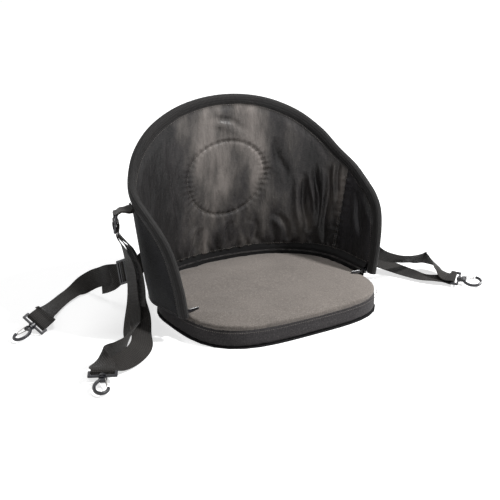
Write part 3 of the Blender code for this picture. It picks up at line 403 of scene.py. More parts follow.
def outline_point(angle, grow=0.0, flare=0.0, lean=0.0):
    """The pad's D outline, with angle 0 at the middle of the back, grown outwards by grow."""
    at_back = math.cos(angle) >= 0
    power = BACK_POWER if at_back else FRONT_POWER
    reach = (PAD_BACK_REACH - lean) if at_back else PAD_FRONT_REACH
    x = (PAD_WIDTH / 2 + grow + flare) * spread(math.sin(angle), power)
    y = WIDEST_Y + (reach + grow) * spread(math.cos(angle), power)
    return Vector((x, y))


def outline_angles():
    """A fine table of angle against the distance along the outline from the middle of the back."""
    steps = 4000
    table = [(0.0, 0.0)]
    last = outline_point(0.0)
    for step in range(1, steps + 1):
        angle = math.pi * step / steps
        point = outline_point(angle)
        table.append((table[-1][0] + (point - last).length, angle))
        last = point
    return table


OUTLINE_TABLE = outline_angles()
HALF_OUTLINE = OUTLINE_TABLE[-1][0]


@functools.lru_cache(maxsize=None)
def angle_at(distance):
    """The outline angle at a signed distance from the middle of the back."""
    target = min(abs(distance), HALF_OUTLINE)
    index = bisect.bisect_right(OUTLINE_TABLE, target, hi=len(OUTLINE_TABLE) - 1, key=lambda row: row[0])
    start, end = OUTLINE_TABLE[index - 1], OUTLINE_TABLE[index]
    share = (target - start[0]) / max(end[0] - start[0], 1e-9)
    return math.copysign(start[1] + share * (end[1] - start[1]), distance)


def curve_weights(t):
    """Weights of the start, its slope, the end and its slope on a smooth curve, at share t of the way."""
    return (2 * t**3 - 3 * t**2 + 1, t**3 - 2 * t**2 + t, 3 * t**2 - 2 * t**3, t**3 - t**2)


def smooth_value(table, place):
    """A smooth curve through the table's points, read at one place."""
    last = len(table) - 1
    index = 0
    while index < last - 1 and place > table[index + 1][0]:
        index += 1
    (x1, y1), (x2, y2) = table[index], table[index + 1]
    before = table[index - 1] if index else (2 * x1 - x2, y2)
    after = table[index + 2] if index + 2 <= last else (2 * x2 - x1, 2 * y2 - y1)
    slope1 = (y2 - before[1]) / (x2 - before[0])
    slope2 = (after[1] - y1) / (after[0] - x1)
    width = x2 - x1
    weights = curve_weights(min(max((place - x1) / width, 0.0), 1.0))
    parts = (y1, slope1 * width, y2, slope2 * width)
    return sum(part * weight for part, weight in zip(parts, weights))


def smooth_step(value, low, high):
    share = min(max((value - low) / (high - low), 0.0), 1.0)
    return share * share * (3 - 2 * share)


def hem_height(distance):
    """The backrest's lower edge, which lifts towards the ends of the wings."""
    return HEM_HEIGHT + HEM_LIFT * smooth_step(abs(distance), HEM_LIFT_FROM, WING_REACH)


@functools.lru_cache(maxsize=None)
def rim_height(distance):
    return BACK_HEIGHT * smooth_value(RIM_PROFILE, min(abs(distance) / WING_REACH, 1.0))


def shell_point(distance, height, out=0.0):
    """A point on the backrest's middle surface, moved outwards along its normal by out."""
    step = 0.0005

    def middle(place, level):
        rise = level - HEM_HEIGHT
        x, y = outline_point(angle_at(place), SHELL_GROW, FLARE * rise, LEAN_IN * rise)
        return Vector((x, y, level))

    along = middle(distance + step, height) - middle(distance - step, height)
    up = middle(distance, height + step) - middle(distance, height - step)
    return middle(distance, height) + up.cross(along).normalized() * out


@functools.lru_cache(maxsize=None)
def rim_slope(distance):
    step = 0.001
    reach = min(abs(distance), WING_REACH - step)
    return (rim_height(reach + step) - rim_height(reach - step)) / (2 * step)


def rim_gap(distance, height):
    """How far a place on the backrest lies inside the rim."""
    below = (rim_height(min(abs(distance), WING_REACH)) - height) / math.sqrt(1 + rim_slope(distance) ** 2)
    return min(below, WING_REACH - abs(distance))


def fold_depth(distance, height):
    """Listed folds: a sharp valley beside a soft ridge, fading at both ends."""
    total = 0.0
    for x1, z1, x2, z2, width, depth in FOLDS:
        run_x, run_z = x2 - x1, z2 - z1
        length = math.hypot(run_x, run_z)
        share = ((distance - x1) * run_x + (height - z1) * run_z) / length**2
        if not -0.05 < share < 1.05:
            continue
        aside = ((distance - x1) * run_z - (height - z1) * run_x) / length
        aside += 0.003 * math.sin(share * 7 + x1 * 90)
        if abs(aside) > 5 * width:
            continue
        fade = math.sin(math.pi * min(max(share, 0.0), 1.0)) ** 0.7
        valley = math.exp(-((aside / width) ** 2))
        ridge = math.exp(-(((aside - 1.9 * width) / (1.3 * width)) ** 2))
        total += FOLD_SCALE * depth * fade * (0.75 * ridge - valley)
    return total


def lining_depth(distance, height):
    """How far the lining stands in from its seams towards the sitter."""
    open_cloth = smooth_step(rim_gap(distance, height), 0.012, 0.034)
    seam = abs(abs(distance) - SIDE_SEAM_REACH)
    foot = max(height - LINING_FOOT, 0.0)
    puff = PUFF * (1 - math.exp(-seam / 0.016)) * (1 - math.exp(-foot / 0.012))
    broad = noise.noise(Vector((distance * 15, height * 5, 0.3)))
    slanted = noise.noise(Vector((distance * 34 + height * 16, height * 9, 4.1)))
    fine = noise.noise(Vector((distance * 95, height * 38, 8.7)))
    cloth = 0.0030 * broad + 0.0015 * slanted + 0.0005 * fine + fold_depth(distance, height)
    wobble = noise.noise(Vector((distance * 40, height * 40, 2.2)))
    ruffle = RUFFLE * math.sin(2 * math.pi * height / RUFFLE_PITCH + 3 * wobble) * math.exp(-seam / 0.011)
    gather = GATHER * math.sin(2 * math.pi * distance / GATHER_PITCH + 4 * wobble) * math.exp(-foot / 0.020)
    from_x, from_z = distance - CIRCLE_PLACE, height - CIRCLE_HEIGHT
    beside = math.hypot(from_x, from_z) - CIRCLE_RADIUS
    groove = -GROOVE * math.exp(-((beside / GROOVE_WIDTH) ** 2))
    waves = math.sin(math.atan2(from_z, from_x) * PUCKER_COUNT + 2 * wobble)
    pucker = PUCKER * waves * math.exp(-((beside / PUCKER_WIDTH) ** 2))
    return open_cloth * (puff + cloth + ruffle + gather + groove + pucker + LEAST_PUFF)


def even_steps(low, high, step):
    count = max(1, math.ceil((high - low) / step))
    return [low + (high - low) * number / count for number in range(count + 1)]


def backrest_rows(places, foot_of, rows, out_of):
    """Points up the backrest at each distance along the hem, from its foot to just under the rim."""
    lines = []
    for row in range(rows + 1):
        share = row / rows
        line = []
        for place in places:
            foot = foot_of(place)
            top = rim_height(place) - RIM_MARGIN * math.sqrt(1 + rim_slope(place) ** 2)
            height = foot + share * (max(top, foot + 0.02) - foot)
            line.append(shell_point(place, height, out_of(place, height)))
        lines.append(line)
    return lines


def make_lining(materials):
    """Three satin panels, sewn to each other at the side seams."""
    edge = WING_REACH - PANEL_MARGIN
    panels = {
        "left": (-edge, -SIDE_SEAM_REACH - PANEL_GAP, 0.003),
        "centre": (-SIDE_SEAM_REACH, SIDE_SEAM_REACH, 0.0025),
        "right": (SIDE_SEAM_REACH + PANEL_GAP, edge, 0.003),
    }

    def out_of(place, height):
        return -SKIN - max(lining_depth(place, height), LEAST_DEPTH)

    for side, (low, high, step) in panels.items():
        places = even_steps(low, high, step)
        rows = backrest_rows(places, lambda place: LINING_FOOT, LINING_ROWS, out_of)
        name = "lining_" + side
        # The wing panels take the satin's painted shaded copy, the centre its painted lit copy
        material = materials["lining" if side == "centre" else "shaded_wing_lining"]
        piece = add_piece(name, grid_mesh(name, rows), material, ["back_" + name])
        thicken(piece, CLOTH, 1.0)


def make_outer_cover(materials):
    """The outer cloth, drawn tight over the foam board, with a shallow dish between the rim and the hem."""

    def out_of(place, height):
        gap = min(rim_gap(place, height), height - hem_height(place))
        soft = smooth_step(gap, 0.006, 0.050)
        broad = noise.noise(Vector((place * 11, height * 9, 12.5)))
        fine = noise.noise(Vector((place * 45, height * 30, 15.5)))
        return SKIN + soft * (0.0012 * broad + 0.0003 * fine + 0.0008)

    edge = WING_REACH - PANEL_MARGIN
    rows = backrest_rows(even_steps(-edge, edge, COVER_STEP), hem_height, COVER_ROWS, out_of)
    mesh = grid_mesh("outer_cover", rows)
    hidden = ["back_outer_cover", "back_foam_board"]
    piece = add_piece("outer_cover", mesh, materials["outer"], hidden)
    thicken(piece, CLOTH, 0.0)


def rim_places():
    """Even (distance, height) places round the rim, with the inward direction at each."""
    foot = hem_height(WING_REACH) + 0.001
    corner = rim_height(WING_REACH)
    dense = [WING_REACH * math.sin(math.pi / 2 * step / 400) for step in range(400, -1, -1)]
    right = [(WING_REACH, foot + (corner - foot) * step / 30) for step in range(30)]
    right += [(place, rim_height(place)) for place in dense]
    line = right + [(-place, height) for place, height in right[-2::-1]]
    lengths = [0.0]
    for (x1, z1), (x2, z2) in zip(line, line[1:]):
        lengths.append(lengths[-1] + math.hypot(x2 - x1, z2 - z1))
    count = int(lengths[-1] / RIM_STEP)
    chosen = []
    index = 0
    for step in range(count + 1):
        target = lengths[-1] * step / count
        while index < len(line) - 2 and lengths[index + 1] < target:
            index += 1
        share = (target - lengths[index]) / max(lengths[index + 1] - lengths[index], 1e-9)
        (x1, z1), (x2, z2) = line[index], line[index + 1]
        chosen.append((x1 + (x2 - x1) * share, z1 + (z2 - z1) * share))
    places = []
    for index, (x, z) in enumerate(chosen):
        before = chosen[max(index - 3, 0)]
        after = chosen[min(index + 3, len(chosen) - 1)]
        run_x, run_z = after[0] - before[0], after[1] - before[1]
        size = math.hypot(run_x, run_z)
        places.append((x, z, -run_z / size, run_x / size))
    return places


RIM = rim_places()


def inside_rim(inward):
    """(distance, height) places that follow the rim at a distance inside it."""
    return [(x + in_x * inward, z + in_z * inward) for x, z, in_x, in_z in RIM]


def make_binding(materials):
    """Ribbed tape folded over the rim in a full roll, with its two edges turned under."""
    profile = [
        (-0.0051, BINDING_DEPTH + 0.0004),
        (-0.0064, BINDING_DEPTH - 0.0002),
        (-0.0073, 0.0115),
        (-0.0077, 0.0075),
        (-0.0073, 0.0030),
        (-0.0058, -0.0006),
        (-0.0032, -0.0028),
        (0.0, -0.0036),
    ]
    profile += [(-out, inward) for out, inward in profile[-2::-1]]
    profile += [(0.0046, BINDING_DEPTH - 0.001), (-0.0046, BINDING_DEPTH - 0.001)]
    rows = []
    for number, (x, z, in_x, in_z) in enumerate(RIM):
        swell = 1 + 0.05 * noise.noise(Vector((number * 0.045, 1.7, 0.0)))
        ring = []
        for out, inward in profile:
            ring.append(shell_point(x + in_x * inward, z + in_z * inward, out * swell))
        rows.append(ring)
    mesh = grid_mesh("rim_binding", rows, closed=True)
    add_uv(mesh, len(profile))
    piece = add_piece("rim_binding", mesh, materials["binding"], ["back_rim_binding"])
    subdivide(piece)


def add_uv(mesh, across):
    """A UV map in metres on a closed grid mesh: U along the rim, V round the tape."""
    layer = mesh.uv_layers.new(name="UVMap")
    for polygon in mesh.polygons:
        columns = [mesh.loops[loop].vertex_index % across for loop in polygon.loop_indices]
        wraps = max(columns) - min(columns) > across / 2
        for loop, column in zip(polygon.loop_indices, columns):
            row = mesh.loops[loop].vertex_index // across
            shifted = column + across if wraps and column < across / 2 else column
            layer.data[loop].uv = (row * RIM_STEP, shifted * RIM_STEP)


def stitch_row(build, points, normals):
    """Adds a row of short threads along a line of points to a mesh being built."""
    travelled, target = 0.0, STITCH_PITCH / 2
    for index in range(len(points) - 1):
        first, second = points[index], points[index + 1]
        span = (second - first).length
        while target <= travelled + span and span > 0:
            along = (second - first).normalized()
            centre = first.lerp(second, (target - travelled) / span)
            normal = normals[index]
            side = along.cross(normal).normalized()
            reach = along * (STITCH_LENGTH / 2)
            lift = normal * STITCH_RADIUS
            tips = [build.verts.new(centre + reach * sign - lift) for sign in (-1, 1)]
            rings = []
            for share in (-STITCH_WAIST, STITCH_WAIST):
                middle = centre + reach * share + lift * 0.5
                around = (side * STITCH_RADIUS, lift, -side * STITCH_RADIUS, -lift)
                rings.append([build.verts.new(middle + offset) for offset in around])
            for number in range(4):
                after = (number + 1) % 4
                build.faces.new((tips[0], rings[0][after], rings[0][number]))
                build.faces.new((rings[0][number], rings[0][after], rings[1][after], rings[1][number]))
                build.faces.new((tips[1], rings[1][number], rings[1][after]))
            target += STITCH_PITCH
        travelled += span


def finish_stitches(name, build, material):
    bmesh.ops.recalc_face_normals(build, faces=build.faces)
    add_piece(name, finished_mesh(build, name), material)


def lining_line(places):
    """Points and normals on the lining's face at (distance, height) places."""
    points, normals = [], []
    for place, height in places:
        out = -SKIN - CLOTH - max(lining_depth(place, height), LEAST_DEPTH) - STITCH_LIFT
        point = shell_point(place, height, out)
        points.append(point)
        normals.append((shell_point(place, height, out - 0.01) - point).normalized())
    return points, normals


def make_back_stitches(materials):
    """Stitch lines of the backrest: rim, side seams, the circle and the outer rim line."""
    build = bmesh.new()
    foot_height = LINING_FOOT + FOOT_STITCH_LIFT
    rim = [place for place in inside_rim(BINDING_DEPTH + 0.0022) if place[1] > foot_height]
    stitch_row(build, *lining_line(rim))
    for side in (-1, 1):
        for offset in (-SEAM_STITCH_OFFSET, SEAM_STITCH_OFFSET):
            place = side * (SIDE_SEAM_REACH + offset)
            top = rim_height(place) - BINDING_DEPTH - 0.006
            line = [(place, LINING_FOOT + (top - LINING_FOOT) * step / 80) for step in range(81)]
            stitch_row(build, *lining_line(line))
    circle = []
    for step in range(241):
        turn = 2 * math.pi * step / 240
        x = CIRCLE_PLACE + CIRCLE_RADIUS * math.cos(turn)
        circle.append((x, CIRCLE_HEIGHT + CIRCLE_RADIUS * math.sin(turn)))
    stitch_row(build, *lining_line(circle))
    along_hem = even_steps(-WING_REACH + 0.02, WING_REACH - 0.02, 0.003)
    stitch_row(build, *lining_line([(place, foot_height) for place in along_hem]))

    def outside(places):
        points = [shell_point(place, height, SKIN + 0.0014) for place, height in places]
        normals = [
            (shell_point(place, height, 0.02) - shell_point(place, height, 0.0)).normalized()
            for place, height in places
        ]
        return points, normals

    rim = [
        (place, height)
        for place, height in inside_rim(BINDING_DEPTH + 0.0020)
        if height > hem_height(place) + FOOT_STITCH_LIFT
    ]
    stitch_row(build, *outside(rim))
    stitch_row(build, *outside([(place, hem_height(place) + HEM_STITCH_LIFT) for place in along_hem]))
    finish_stitches("back_stitching", build, materials["thread"])


def pad_ring(grow, height):
    angles = [2 * math.pi * step / PAD_STEPS for step in range(PAD_STEPS)]
    return [Vector((*outline_point(angle, grow), height)) for angle in angles]


def pad_rings():
    """The pad's section from the middle of its underside round its rolled edge to the middle of the top."""
    rings = [pad_ring(-inset, PAD_FOOT) for inset in (0.150, 0.120, 0.090, 0.060, 0.030, 0.012, 0.003)]
    rings += [pad_ring(-0.0012, PAD_FOOT + 0.003), pad_ring(-0.0004, 0.010), pad_ring(-0.0004, 0.020)]
    rings += [pad_ring(-0.0012, 0.029), pad_ring(-0.0024, BAND_TOP)]
    for inset, drop in ((0.0012, 0.60), (0.0006, 0.35), (0.0016, 0.12), (0.0045, -0.02), (0.0085, -0.03)):
        rings.append(pad_ring(-inset, PAD_HEIGHT - EDGE_ROLL * drop))
    crown = ((0.012, 0.02), (0.018, 0.12), (0.032, 0.40), (0.055, 0.68), (0.085, 0.88), (0.120, 0.98))
    for inset, share in (*crown, (0.150, 1.0)):
        rings.append(pad_ring(-inset, PAD_HEIGHT + PAD_CROWN * share))
    return rings


def apply_modifiers(piece):
    """Makes the mesh that the modifiers give the piece's own."""
    graph = bpy.context.evaluated_depsgraph_get()
    mesh = bpy.data.meshes.new_from_object(piece.evaluated_get(graph))
    piece.modifiers.clear()
    piece.data = mesh


def simulate_cover(piece):
    """Cloth blown up a little against its own seams, with no point moving further than the cap."""
    scene = bpy.context.scene
    start = [vert.co.copy() for vert in piece.data.vertices]
    cloth = piece.modifiers.new("cloth", "CLOTH")
    cloth.settings.use_pressure = True
    cloth.settings.uniform_pressure_force = PAD_PRESSURE
    cloth.settings.quality = CLOTH_QUALITY
    cloth.settings.mass = CLOTH_MASS
    cloth.settings.effector_weights.gravity = 0.0
    for number in range(1, PAD_FRAMES + 1):
        scene.frame_set(number)
    apply_modifiers(piece)
    for vert, origin in zip(piece.data.vertices, start):
        move = vert.co - origin
        if move.length > PAD_CAP:
            vert.co = origin + move.normalized() * PAD_CAP
        vert.co.z = max(vert.co.z, PAD_FOOT)
    scene.frame_set(1)


def wrinkle_pad(mesh):
    """Seam groove under the rolled edge, shallow folds on the top and soft dents on the sides."""
    for vert in mesh.vertices:
        x, y, z = vert.co
        on_top = smooth_step(z, PAD_HEIGHT - 0.006, PAD_HEIGHT - 0.001)
        left = smooth_step(-x, -0.02, 0.13)
        broad = noise.noise(Vector((x * 9, y * 9, 1.0)))
        folds = noise.noise(Vector((x * 18 + y * 30, y * 9 - x * 12, 5.0)))
        fine = noise.noise(Vector((x * 90, y * 90, 9.0)))
        lift = 0.0012 * broad + (0.0006 + 0.0022 * left) * folds + 0.00030 * fine
        vert.co.z += on_top * lift
        if PAD_FOOT + 0.002 < z < PAD_HEIGHT - 0.004:
            outward = Vector((x, y - WIDEST_Y, 0)).normalized()
            seam = -0.0016 * math.exp(-(((z - BAND_TOP) / 0.0016) ** 2))
            dent = 0.0009 * noise.noise(Vector((x * 16, y * 16, z * 20)))
            vert.co += outward * (seam + dent)
    mesh.update()


def make_pad(materials):
    """The pad's soft cover in its two cloths, the top one painted lighter for the light from above, and the
    two rows of stitches beside its seam.
    """
    mesh = grid_mesh("pad_cover", pad_rings(), closed=True)
    hidden = ["seat_top_cover", "seat_side_band", "seat_foam"]
    piece = new_object("pad_cover", mesh)
    remesh = piece.modifiers.new("remesh", "REMESH")
    remesh.mode = "VOXEL"
    remesh.voxel_size = PAD_VOXEL
    apply_modifiers(piece)
    simulate_cover(piece)
    subdivide(piece)
    apply_modifiers(piece)
    wrinkle_pad(piece.data)
    piece.data.materials.clear()
    # The top takes the cloth with painted light, the band below it the darker cloth
    for name in ("pad_top", "pad_band"):
        piece.data.materials.append(materials[name])
    for polygon in piece.data.polygons:
        polygon.material_index = 0 if polygon.center.z > BAND_TOP else 1
    piece.data.shade_smooth()
    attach(piece, "root")
    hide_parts(*hidden)

    build = bmesh.new()
    for grow, rise in ((0.0002, PAD_STITCH_OFFSET), (0.0004, -PAD_STITCH_OFFSET)):
        ring = pad_ring(grow, BAND_TOP + rise)
        ring.append(ring[0])
        normals = [Vector((point.x, point.y - WIDEST_Y, 0)).normalized() for point in ring]
        stitch_row(build, ring, normals)
    finish_stitches("pad_stitching", build, materials["thread"])


def placed(along, across, centre):
    """A frame with X along, Y across and Z square to both, at a centre."""
    x = Vector(along).normalized()
    y = (Vector(across) - x * x.dot(Vector(across))).normalized()
    turn = Matrix((x, y, x.cross(y))).transposed().to_4x4()
    return Matrix.Translation(Vector(centre)) @ turn


def hermite(stations, step):
    """Even samples of a smooth curve through stations of any number of vectors, spaced by the first."""
    spans = [max((b[0] - a[0]).length, 1e-6) for a, b in zip(stations, stations[1:])]

    def slope(index, part):
        if index == 0:
            return (stations[1][part] - stations[0][part]) / spans[0]
        if index == len(stations) - 1:
            return (stations[-1][part] - stations[-2][part]) / spans[-1]
        before = (stations[index][part] - stations[index - 1][part]) / spans[index - 1]
        after = (stations[index + 1][part] - stations[index][part]) / spans[index]
        return (before * spans[index] + after * spans[index - 1]) / (spans[index] + spans[index - 1])

    samples = [stations[0]]
    for index, span in enumerate(spans):
        count = max(1, math.ceil(span / step))
        for number in range(1, count + 1):
            weights = curve_weights(number / count)
            row = []
            for part in range(len(stations[0])):
                row.append(
                    stations[index][part] * weights[0]
                    + slope(index, part) * span * weights[1]
                    + stations[index + 1][part] * weights[2]
                    + slope(index + 1, part) * span * weights[3]
                )
            samples.append(tuple(row))
    return samples


def lock_edges():
    """Ends of a ladder lock's bars and slots along its length, from the tab's end."""
    sizes = (LOCK_END, SLOT, LOCK_BAR, SLOT, LOCK_BAR, WIDE_SLOT, LOCK_BAR, SLOT, LOCK_LIP)
    edges = [-sum(sizes) / 2]
    for size in sizes:
        edges.append(edges[-1] + size)
    return edges


def lock_frame(key):
    """X from tab to strap, Z towards the side the straps leave by."""
    centre, along, under = LOCKS[key]
    return placed(along, Vector(under).cross(Vector(along)), centre)


def round_bar(low, high):
    """Line of a strap over the far side of a lock's bar, between the slots beside it."""
    face, clear = LOCK_THICKNESS / 2, SEAT_CLEAR
    bend = clear * math.sqrt(0.5)
    return [
        (low - clear, 0.0),
        (low - clear, -face),
        (low - bend, -face - bend),
        (low, -face - clear),
        (high, -face - clear),
        (high + bend, -face - bend),
        (high + clear, -face),
        (high + clear, 0.0),
    ]


def stations_in(place, line):
    """Stations of a strap that lies square across a fitting, from (x, z) points in the fitting's frame."""
    across = place.to_3x3() @ Vector((0, 1, 0))
    return [(place @ Vector((x, 0, z)), across) for x, z in line]


def anchor_line():
    """The sewn end of a strap round its own bar, then out under the lip."""
    edges = lock_edges()
    face, clear = LOCK_THICKNESS / 2, SEAT_CLEAR
    line = [(edges[6] - clear, face * 0.7)] + round_bar(edges[6], edges[7])
    line += [
        (edges[7] + clear, face * 0.7),
        (edges[7] + clear * 1.3, face + clear * 0.45),
        (edges[7] + clear * 2.1, face + clear * 0.95),
        (edges[8] + clear * 1.4, face + clear),
        (edges[9] + clear * 2, face + clear * 1.1),
    ]
    return line


def adjusting_line():
    """The free strap up through the lock, over its bar and down again as the tail."""
    edges = lock_edges()
    face, clear = LOCK_THICKNESS / 2, SEAT_CLEAR
    layer = WEBBING_THICKNESS + 2 * GAP
    tail = face + clear + layer
    loaded = tail + layer
    line = [
        (edges[9] + clear * 2, loaded + clear * 0.2),
        (edges[6], loaded),
        (edges[5] - clear, loaded - clear * 0.6),
        (edges[4] - clear * 0.9, face + clear * 1.9),
        (edges[4] - clear, face + clear * 0.4),
    ]
    line += round_bar(edges[4], edges[5])
    line += [
        (edges[5] + clear, face + clear * 0.2),
        (edges[5] + clear * 1.6, tail - clear * 1.3),
        (edges[5] + clear * 2.9, tail - clear * 0.3),
        (edges[6] + clear, tail),
        (edges[9] + clear * 2, tail + clear * 0.1),
    ]
    return line


def hook_stations(key, line):
    centre, along, across = HOOKS[key]
    return stations_in(placed(along, across, centre), line)


def bar_wrap(side):
    """A strap round a hook's webbing bar, from one face to the other."""
    reach = WRAP_RADIUS
    line = [(-WRAP_RUN, side * reach * 0.8), (-reach, side * reach)]
    for angle in (90, 50, 0, -50, -90):
        turn = math.radians(angle)
        line.append((reach * math.cos(turn), side * reach * math.sin(turn)))
    return line + [(-reach, -side * reach), (-WRAP_RUN, -side * reach * 0.8)]


def sewn_wrap(side):
    """A strap's end folded round a hook's bar and sewn back on itself."""
    close = WEBBING_THICKNESS / 2 + GAP
    end = [(-SEWN_FAR, side * close), (-SEWN_NEAR, side * close * 1.4)]
    return end + bar_wrap(side) + [(-SEWN_NEAR, -side * close * 1.4), (-SEWN_FAR, -side * close)]


def tab_stations(key):
    """The doubled tab that ties a ladder lock to the backrest."""
    (from_place, from_height), (to_place, to_height) = TAB_SEWN[key]
    onward, outward, cover_first = TAB_LEAVE[key]
    edges = lock_edges()
    face, clear = LOCK_THICKNESS / 2, SEAT_CLEAR
    bend = clear * math.sqrt(0.5)
    lower = HALF_STACK + GAP + TAB_SLACK + WEBBING_THICKNESS / 2
    upper = lower + WEBBING_THICKNESS + 2 * GAP

    def sewn(out):
        """The sewn run of one layer, and its first free point, kept beside the other layer in the bend."""
        stations = []
        for share in (0.0, 0.5, 1.0):
            place = from_place + share * (to_place - from_place)
            height = from_height + share * (to_height - from_height)
            stations.append((shell_point(place, height, out), shell_point(place, height, out + 0.01)))
        run = (stations[-1][0] - stations[0][0]).normalized()
        line = [(point, (lifted - point).cross(run)) for point, lifted in stations]
        last, lifted = stations[-1]
        normal = (lifted - last).normalized()
        beside = out - lower
        bend_angle = math.atan2(outward, onward)
        last -= run * (beside * math.sin(bend_angle))
        line[-1] = (last, line[-1][1])
        free = last + run * onward + normal * (outward - beside * (1 - math.cos(bend_angle)))
        return line + [(free, line[-1][1])]

    layer = (WEBBING_THICKNESS + 2 * GAP) * math.sqrt(0.5)
    seat = edges[0] + LOCK_BEVEL
    near = [
        (seat - TAB_LIFT, face + clear + TAB_LIFT),
        (seat, face + clear),
        (edges[1], face + clear),
        (edges[1] + bend, face + bend),
        (edges[1] + clear, face),
    ]
    over = [(x, -z) for x, z in near[:1:-1]]
    over += [
        (edges[0], -face - clear),
        (edges[0] - bend, -face - bend),
        (edges[0] - clear, -face),
        (edges[0] - clear * 1.1, 0.0),
        (edges[0] - clear - layer * 0.5, face),
        (seat - TAB_LIFT - layer, face + clear + TAB_LIFT - layer),
    ]
    through = stations_in(lock_frame(key), near + over)
    layers = (lower, upper) if cover_first else (upper, lower)
    start, finish = sewn(layers[0]), sewn(layers[1])[::-1]

    def between(first, second):
        turned = second[1] if first[1].dot(second[1]) > 0 else -second[1]
        return first[0].lerp(second[0], 0.5), first[1].lerp(turned, 0.5)

    near_middle, far_middle = between(start[-1], through[0]), between(through[-1], finish[0])
    across = near_middle[1].normalized()
    square = (through[0][0] - start[-1][0]).cross(across).normalized()
    apart = square.dot(far_middle[0] - near_middle[0])
    push = max(0.0, WEBBING_THICKNESS + 3 * GAP - abs(apart))
    far_middle = (far_middle[0] + square * math.copysign(push, apart), far_middle[1])

    return start + [near_middle] + through + [far_middle] + finish


def webbing_piece(name, stations, materials, replaced, skewed=False):
    """A woven strap with rounded selvedges and a slight cup. Returns the piece and its centre line."""
    clean = []
    for centre, across in stations:
        centre, across = Vector(centre), Vector(across).normalized()
        if clean and across.dot(clean[-1][1]) < 0:
            across = -across
        clean.append((centre, across))
    samples = hermite(clean, WEBBING_STEP)
    half, thick = WEBBING_WIDTH / 2, WEBBING_THICKNESS / 2
    section = [(-1.0, 0.0), (-0.985, 0.75), (-0.93, 1.0), (-0.80, 0.92), (-0.4, 0.95), (0.0, 0.95)]
    section += [(-u, v) for u, v in section[-2::-1]]
    section += [(u, -v) for u, v in section[-2:0:-1]]
    rows, places, travelled = [], [], 0.0
    for index, (centre, across) in enumerate(samples):
        before = samples[max(index - 1, 0)][0]
        after = samples[min(index + 1, len(samples) - 1)][0]
        along = (after - before).normalized()
        if not skewed:
            across -= along * along.dot(across)
        across = across.normalized()
        normal = along.cross(across).normalized()
        if index:
            travelled += (centre - samples[index - 1][0]).length
        places.append(travelled)
        ripple = 1 + 0.006 * noise.noise(Vector((travelled * 60, 3.3, 0)))
        rows.append([centre + across * (u * half * ripple) + normal * (v * thick) for u, v in section])
    mesh = grid_mesh(name, rows, closed=True)
    layer = mesh.uv_layers.new(name="UVMap")
    for loop in mesh.loops:
        row, column = divmod(loop.vertex_index, len(section))
        layer.data[loop.index].uv = (places[row], section[column][0] * half)
    piece = add_piece(name, mesh, materials["webbing"], replaced)
    mesh.set_sharp_from_angle(angle=math.radians(50))
    return piece, [centre for centre, _ in samples]


def make_straps(materials):
    """The four straps, each with the doubled tab that ties its lock to the backrest."""
    fronts = {
        "front_left": (FRONT_LEFT_DOWN, FRONT_LEFT_UP, FRONT_LEFT_TAIL),
        "front_right": (FRONT_RIGHT_DOWN, FRONT_RIGHT_UP, FRONT_RIGHT_TAIL),
    }
    rears = {
        "rear_left": (REAR_LEFT_ROUTE, REAR_LEFT_TAIL),
        "rear_right": (REAR_RIGHT_ROUTE, REAR_RIGHT_TAIL),
    }
    lines = {}
    for key, (down, up, tail) in fronts.items():
        line = stations_in(lock_frame(key), anchor_line()) + list(down) + hook_stations(key, bar_wrap(1))
        lines[key] = line + list(up) + stations_in(lock_frame(key), adjusting_line()) + list(tail)
    for key, (route, tail) in rears.items():
        line = hook_stations(key, sewn_wrap(-1)) + list(route[::-1])
        line += stations_in(lock_frame(key), adjusting_line()) + list(tail)
        lines[key] = line[::-1]
    for key, line in lines.items():
        piece, path = webbing_piece("webbing_" + key, line, materials, ["strap_" + key])
        webbing_piece("lock_tab_" + key, tab_stations(key), materials, ["tab_" + key], skewed=True)


def make_teeth(materials):
    """Two rows of interlocked zip teeth."""
    build = bmesh.new()
    count = int(2 * CHAIN_REACH / TOOTH_PITCH)
    for number in range(count + 1):
        for row in (-1, 1):
            place = -CHAIN_REACH + TOOTH_PITCH * (number + (0.5 if row > 0 else 0))
            point = outline_point(angle_at(place), CHAIN_GROW)
            after = outline_point(angle_at(place + 0.001), CHAIN_GROW)
            along = Vector((after.x - point.x, after.y - point.y, 0)).normalized()
            centre = Vector((point.x, point.y, CHAIN_HEIGHT + row * TOOTH_RISE))
            matrix = placed(along, Vector((0, 0, 1)).cross(along), centre)
            bmesh.ops.create_cube(build, size=1.0, matrix=matrix @ Matrix.Diagonal((*TOOTH_SIZE, 1)))
    bmesh.ops.bevel(build, geom=list(build.edges), offset=TOOTH_BEVEL, segments=1, affect="EDGES")
    mesh = finished_mesh(build, "zip_teeth")
    add_piece("zip_teeth", mesh, materials["teeth"], ["zip_chain"])


def linear(red, green, blue):
    """A colour given as 0 to 255 on screen, for a shader's socket."""
    values = []
    for channel in (red, green, blue):
        share = channel / 255
        values.append(share / 12.92 if share <= 0.04045 else ((share + 0.055) / 1.055) ** 2.4)
    return (*values, 1.0)


def make_node(tree, kind, inputs, **settings):
    """A shader node with its settings, and each input given a value or linked to another node's output."""
    node = tree.nodes.new("ShaderNode" + kind)
    for name, value in settings.items():
        setattr(node, name, value)
    for name, value in inputs.items():
        if isinstance(value, bpy.types.NodeSocket):
            tree.links.new(value, node.inputs[name])
        else:
            node.inputs[name].default_value = value
    return node


